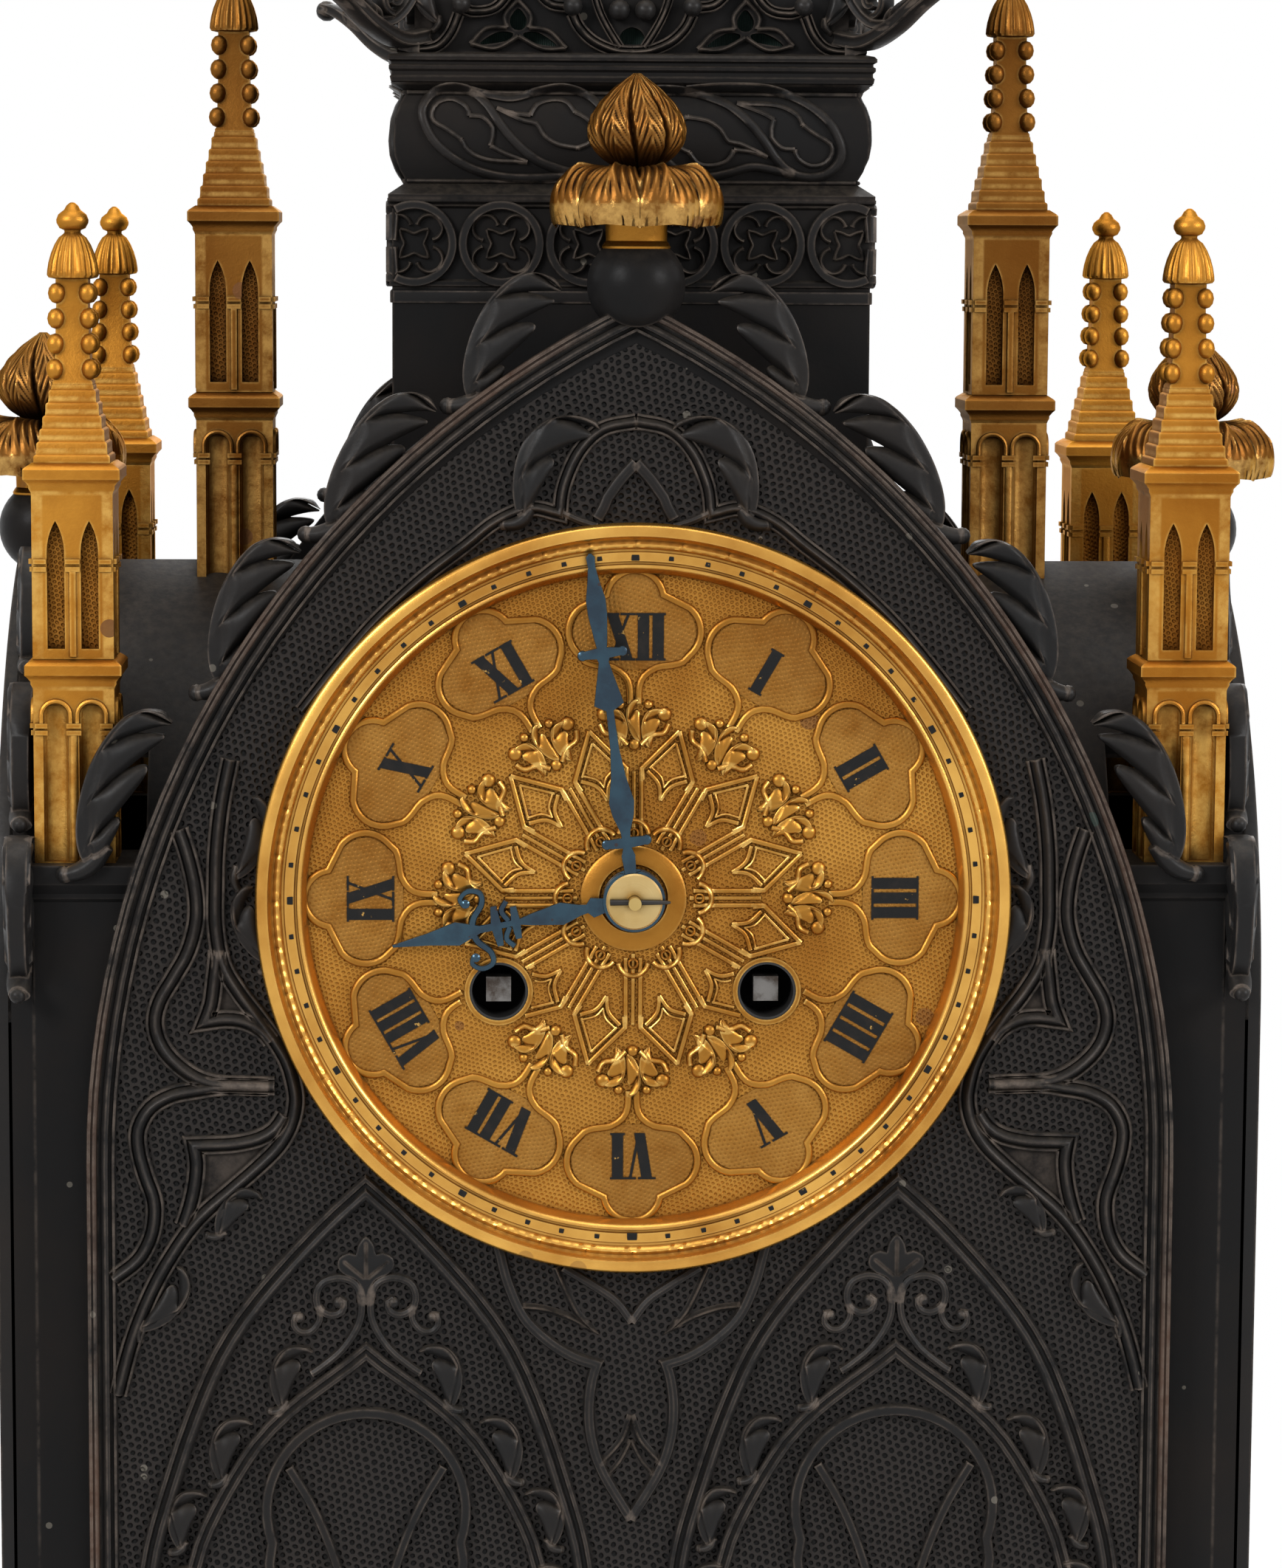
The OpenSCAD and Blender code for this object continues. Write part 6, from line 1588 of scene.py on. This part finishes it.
# Pierced crown: festoon moulding with bead ends, trefoil openings, two-ball motif
def makeCrown():
    wallShape, relief = Shape(), Shape()
    h, top = towerParts["crownHalf"], 373.7
    up = upright(0, 0, 0)
    o = towerParts["half"]
    cornice = [(o, 336.5), (o + 0.2, 336.7), (o + 0.35, 337.4), (o + 0.1, 337.7), (o + 0.1, 338.2),
        (o + 0.5, 338.6), (o + 0.5, 339.1), (o + 0.15, 339.3), (o + 0.15, 339.7), (o + 0.7, 340.0),
        (o + 0.7, 340.5), (o + 0.3, 340.9), (o - 1.0, 341.2), (h - 2.6, 341.2), (h - 2.6, 336.5)]
    addSquare(wallShape, cornice, up, ring=True)
    addSquare(wallShape, [(h, 369.5), (h + 1.2, 371.5), (h + 1.2, top - 0.4), (h + 0.9, top), (24, top),
        (24, 371), (h - 2.6, 369.5)], up, ring=True)
    for k in range(4):
        outer = [(-h + 0.02, 341), (h - 0.02, 341), (h - 0.02, 370), (-h + 0.02, 370)]
        holes = []
        for s in (1, -1):
            lines = [smoothLine(line, 0.4, True) for line in crownLobes]
            lines += [archLine(*arch) for arch in crownArches]
            holes.extend([(s * u, v) for u, v in line] for line in lines)
        foot = [(-1.8, 342.9), (1.8, 342.9), (1.6, 344.6), (0, 345.4), (-1.6, 344.6)]
        holes.append(smoothLine(foot, 0.4, True))
        addPlate(wallShape, [outer, *holes], 2.5, plane(90 * k, h - 2.5))
        face = plane(90 * k, h)
        for s in (1, -1):
            side = shifted(face, 0, 0, flip=s)
            for line, width in festoon:
                addBar(relief, smoothLine(line, 0.7), width, 2.6, side, "grooved")
            for u, v in ((-26.9, 348.7), (-9.4, 348.5)):
                addBall(relief, side, u, v, 2.2, 1.55, 1.1, 14)
            addBall(relief, side, -17.6, 357.2, 1.6, 1.7, 1.0, 12)
            for line in crownLines:
                addBar(relief, smoothLine(line, 0.5), 0.8, 1.1, side, "round")
            stalk = [(-6.2, 356), (-6.0, 351), (-5.2, 348), (-3.7, 345), (-1.9, 342.2)]
            addBar(relief, smoothLine(stalk, 0.8), 1.5, 2.0, side, "grooved")
            addBall(relief, side, -2.05, 348, 1.1, 1.7, 1.0, 14)
            addLeaf(relief, side, (-31.8, 345.6), (-32.6, 353.2), 3.8, 2.2, side=1, lobes=2, bend=0.04)
            addLeaf(relief, side, (-3.2, 352), (-1.2, 358), 3.4, 1.8, side=1, lobes=2, bend=0.04)
            addBar(relief, archLine(*crownArches[0]), 1.3, 1.4, side, "twin")
            addBar(relief, archLine(*crownArches[1]), 1.2, 1.3, side, "twin")
            addBall(relief, side, -26.4, 367.4, 1.0, 1.3, 0.9, 10)
            addBall(relief, side, -9.6, 368.2, 0.9, 1.2, 0.9, 10)
    makePiece("crownWalls", wallShape, "bronzePlain", replaces=["crown_gallery"], smooth=30)
    makePiece("crownRelief", relief, "bronze", smooth=50)


def radialPlane(angle):
    c, s = math.cos(math.radians(angle)), math.sin(math.radians(angle))
    return lambda u, v, h=0.0: (u * c - h * s, u * s + h * c, v)


# Leafy scroll brackets on the corners of the crown
bracketSection = doubled([(-0.5, 0.0), (-0.42, 0.75), (-0.3, 1.0), (-0.1, 0.78), (0.1, 0.78), (0.3, 1.0),
    (0.42, 0.75), (0.5, 0.0)])


def makeBrackets():
    shape = Shape()
    for a in (45, 135, 225, 315):
        place = radialPlane(a)
        arm = [(46.8, 343.8), (52.0, 343.2), (57.6, 345.4), (63.0, 349.0), (67.6, 351.4), (71.0, 352.2)]
        addBar(shape, smoothLine(arm, 0.8), 2.7, 2.3, place, bracketSection, taper=lambda t: 1.1 - 0.35 * t)
        back = [(47.2, 359.5), (48.2, 354.5), (50.0, 349.5), (53.6, 346.2), (58.0, 345.6)]
        addBar(shape, smoothLine(back, 0.8), 2.6, 1.8, place, bracketSection, taper=lambda t: 1.0 - 0.3 * t)
        addBall(shape, place, 70.8, 351.7, 0, 1.8, 1.1, 14)
        addLeaf(shape, place, (57.0, 347.0), (64.4, 352.4), 3.4, 1.7, -1, 3, both=True, centre=0.2, fine=0.09)
        addBall(shape, place, 48.2, 360.2, 0, 1.7, 1.0, 12)
        addBar(shape, curlLine(53.8, 349.6, 2.6, -90, 1.1), 1.3, 1.5, place, bracketSection)
    makePiece("bracketScrolls", shape, "bronze", replaces=["crown_brackets"], smooth=50)


# Lantern and spire dressing: mouldings, window heads, ribs with small crockets
spire = {"lanternZ": 373.7, "lanternR": 27.0, "foot": 421.7, "height": 124.0, "tip": 2.4}


ribSection = [(-0.5, 0.8), (0, 1), (0.5, 0.8), (0.5, -0.8), (0, -1), (-0.5, -0.8)]


def makeSpire():
    shape = Shape()
    z0, r = spire["lanternZ"], spire["lanternR"]
    flatR = r * math.cos(math.pi / 8)
    for k in range(8):
        face = plane(45 * k, flatR)
        arch = archLine(5.6, z0 + 6 + 18.5, 9.6, z0 + 6)
        addBar(shape, arch, 1.4, 1.2, face, "twin")
        addBar(shape, [(-9.6, z0 + 3), (9.6, z0 + 3)], 2.2, 1.0, face, "flat")
        addBar(shape, [(-9.4, z0 + 38), (9.4, z0 + 38)], 1.6, 0.9, face, "round")
        for s in (-1, 1):
            addLeaf(shape, face, (s * 6.9, z0 + 26), (s * 3.0, z0 + 33), 3.2, 1.6, side=-s, lobes=2,
                bend=0.05)
        addBall(shape, face, 0, z0 + 36.2, 0.5, 1.5, 0.8, 12)
        rib = radialPlane(22.5 + 45 * k)
        lo, hi = (r - 3.0, spire["foot"]), (spire["tip"], spire["foot"] + spire["height"])
        addBar(shape, [(lo[0] - 0.2, lo[1]), (hi[0] - 0.2, hi[1] - 1)], 1.5, 0.9, rib, ribSection)
        addBar(shape, [(r - 0.2, z0 + 1), (r - 0.2, z0 + 43)], 1.3, 0.9, rib, ribSection)
        for i in range(7):
            t0 = 0.05 + 0.125 * i
            t1 = t0 + 0.075 - 0.003 * i
            foot = (lo[0] + (hi[0] - lo[0]) * t0 + 0.4, lo[1] + (hi[1] - lo[1]) * t0)
            tip = (lo[0] + (hi[0] - lo[0]) * t1 + 0.8, lo[1] + (hi[1] - lo[1]) * t1)
            addLeaf(shape, rib, foot, tip, 4.0 - 0.3 * i, 1.3 - 0.1 * i, -1, 3, both=True, centre=0.04,
                fine=0.09)
        low, high = (r - 3.0) * math.cos(math.pi / 8), spire["tip"]
        rise = spire["height"]

        def slope(u, v, h=0.0, a=45 * k, f=(low, high, rise)):
            part = (v - spire["foot"]) / f[2]
            return plane(a, f[0] + (f[1] - f[0]) * part)(u, v, h)
        corners = ((-1, 0), (-1, 0.5), (0, 1), (1, 0.5), (1, 0))
        panel = [(s * 7.2 * (1 - t) ** 0.9, spire["foot"] + 3 + 0.62 * rise * t) for s, t in corners]
        addBar(shape, panel, 0.9, 0.8, slope, "ridge", closed=True)
        addBar(shape, circleLine(0, spire["foot"] + 13, 3.6, 24), 1.0, 0.9, slope, "ridge", closed=True)
        for z, w in ((24, 4.4), (44, 2.8)):
            addBar(shape, [(-w, spire["foot"] + z), (w, spire["foot"] + z)], 0.9, 0.8, slope, "ridge")
    for z, e in ((417.9, 1.6), (420.6, 1.2)):
        rr = (r + 2) * math.cos(math.pi / 8)
        for k in range(8):
            addBar(shape, [(-11.6, z), (11.6, z)], 1.3, e * 0.6, plane(45 * k, rr), "round")
    makePiece("spireDressing", shape, "bronze", smooth=50)


# Middle height and half width and depth of the plinth's flat band
base = {"mid": 27.0, "wide": 112.0, "deep": 62.0}


def makeBase():
    relief = Shape()
    for k in range(4):
        wide, deep = (base["wide"], base["deep"]) if k % 2 == 0 else (base["deep"], base["wide"])
        face = plane(90 * k, deep)
        count = 13 if k % 2 == 0 else 7
        pitch = 2 * (wide - 3.5) / count
        for i in range(count):
            u = (i - (count - 1) / 2) * pitch
            big = shifted(face, u, 0)
            addBar(relief, circleLine(0, base["mid"], 7.1, 36), 1.2, 1.0, big, "flat", closed=True)
            for q in range(4):
                a = math.radians(45 + 90 * q)
                lobe = circleLine(3.4 * math.cos(a), base["mid"] + 3.4 * math.sin(a), 2.3, 14,
                    45 + 90 * q - 128, 256)
                addBar(relief, lobe, 0.6, 0.8, big, "ridge")
            addBall(relief, big, 0, base["mid"], 0.1, 1.1, 0.8, 8)
    makePiece("plinthRings", relief, "bronze", smooth=45)


# Looks of the solids that are carried over, by their material; then those with a look of their own
carried = {
    "bronze": "bronze", "gilt_bronze": "gilt", "dial_gilding": "dialGround", "movement_brass": "brass",
    "bell_metal": "bellMetal", "polished_steel": "steel", "blued_steel": "blued", "dark_cloth": "cloth",
}
ownLooks = {name: "bronzePlain" for name in ("corner_piers", "nave_roof", "side_roofs", "tower_shaft",
    "gable_balls", "base_plinth", "spire")}
ownLooks.update(going_arbor="arborSteel", strike_arbor="arborSteel")


def dressSolids():
    for name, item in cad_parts.items():
        before = item.material_slots[0].material.name if item.material_slots else "none"
        look = next((carried[key] for key in sorted(carried, key=len, reverse=True) if key in before), None)
        look = ownLooks.get(name, look)
        if look:
            for held in item.material_slots:
                held.material = looks[look]


makeTower()
makeCrown()
makeBrackets()
makeSpire()
makeBase()
dressSolids()
print("tower, spire, base and carried-over solids")
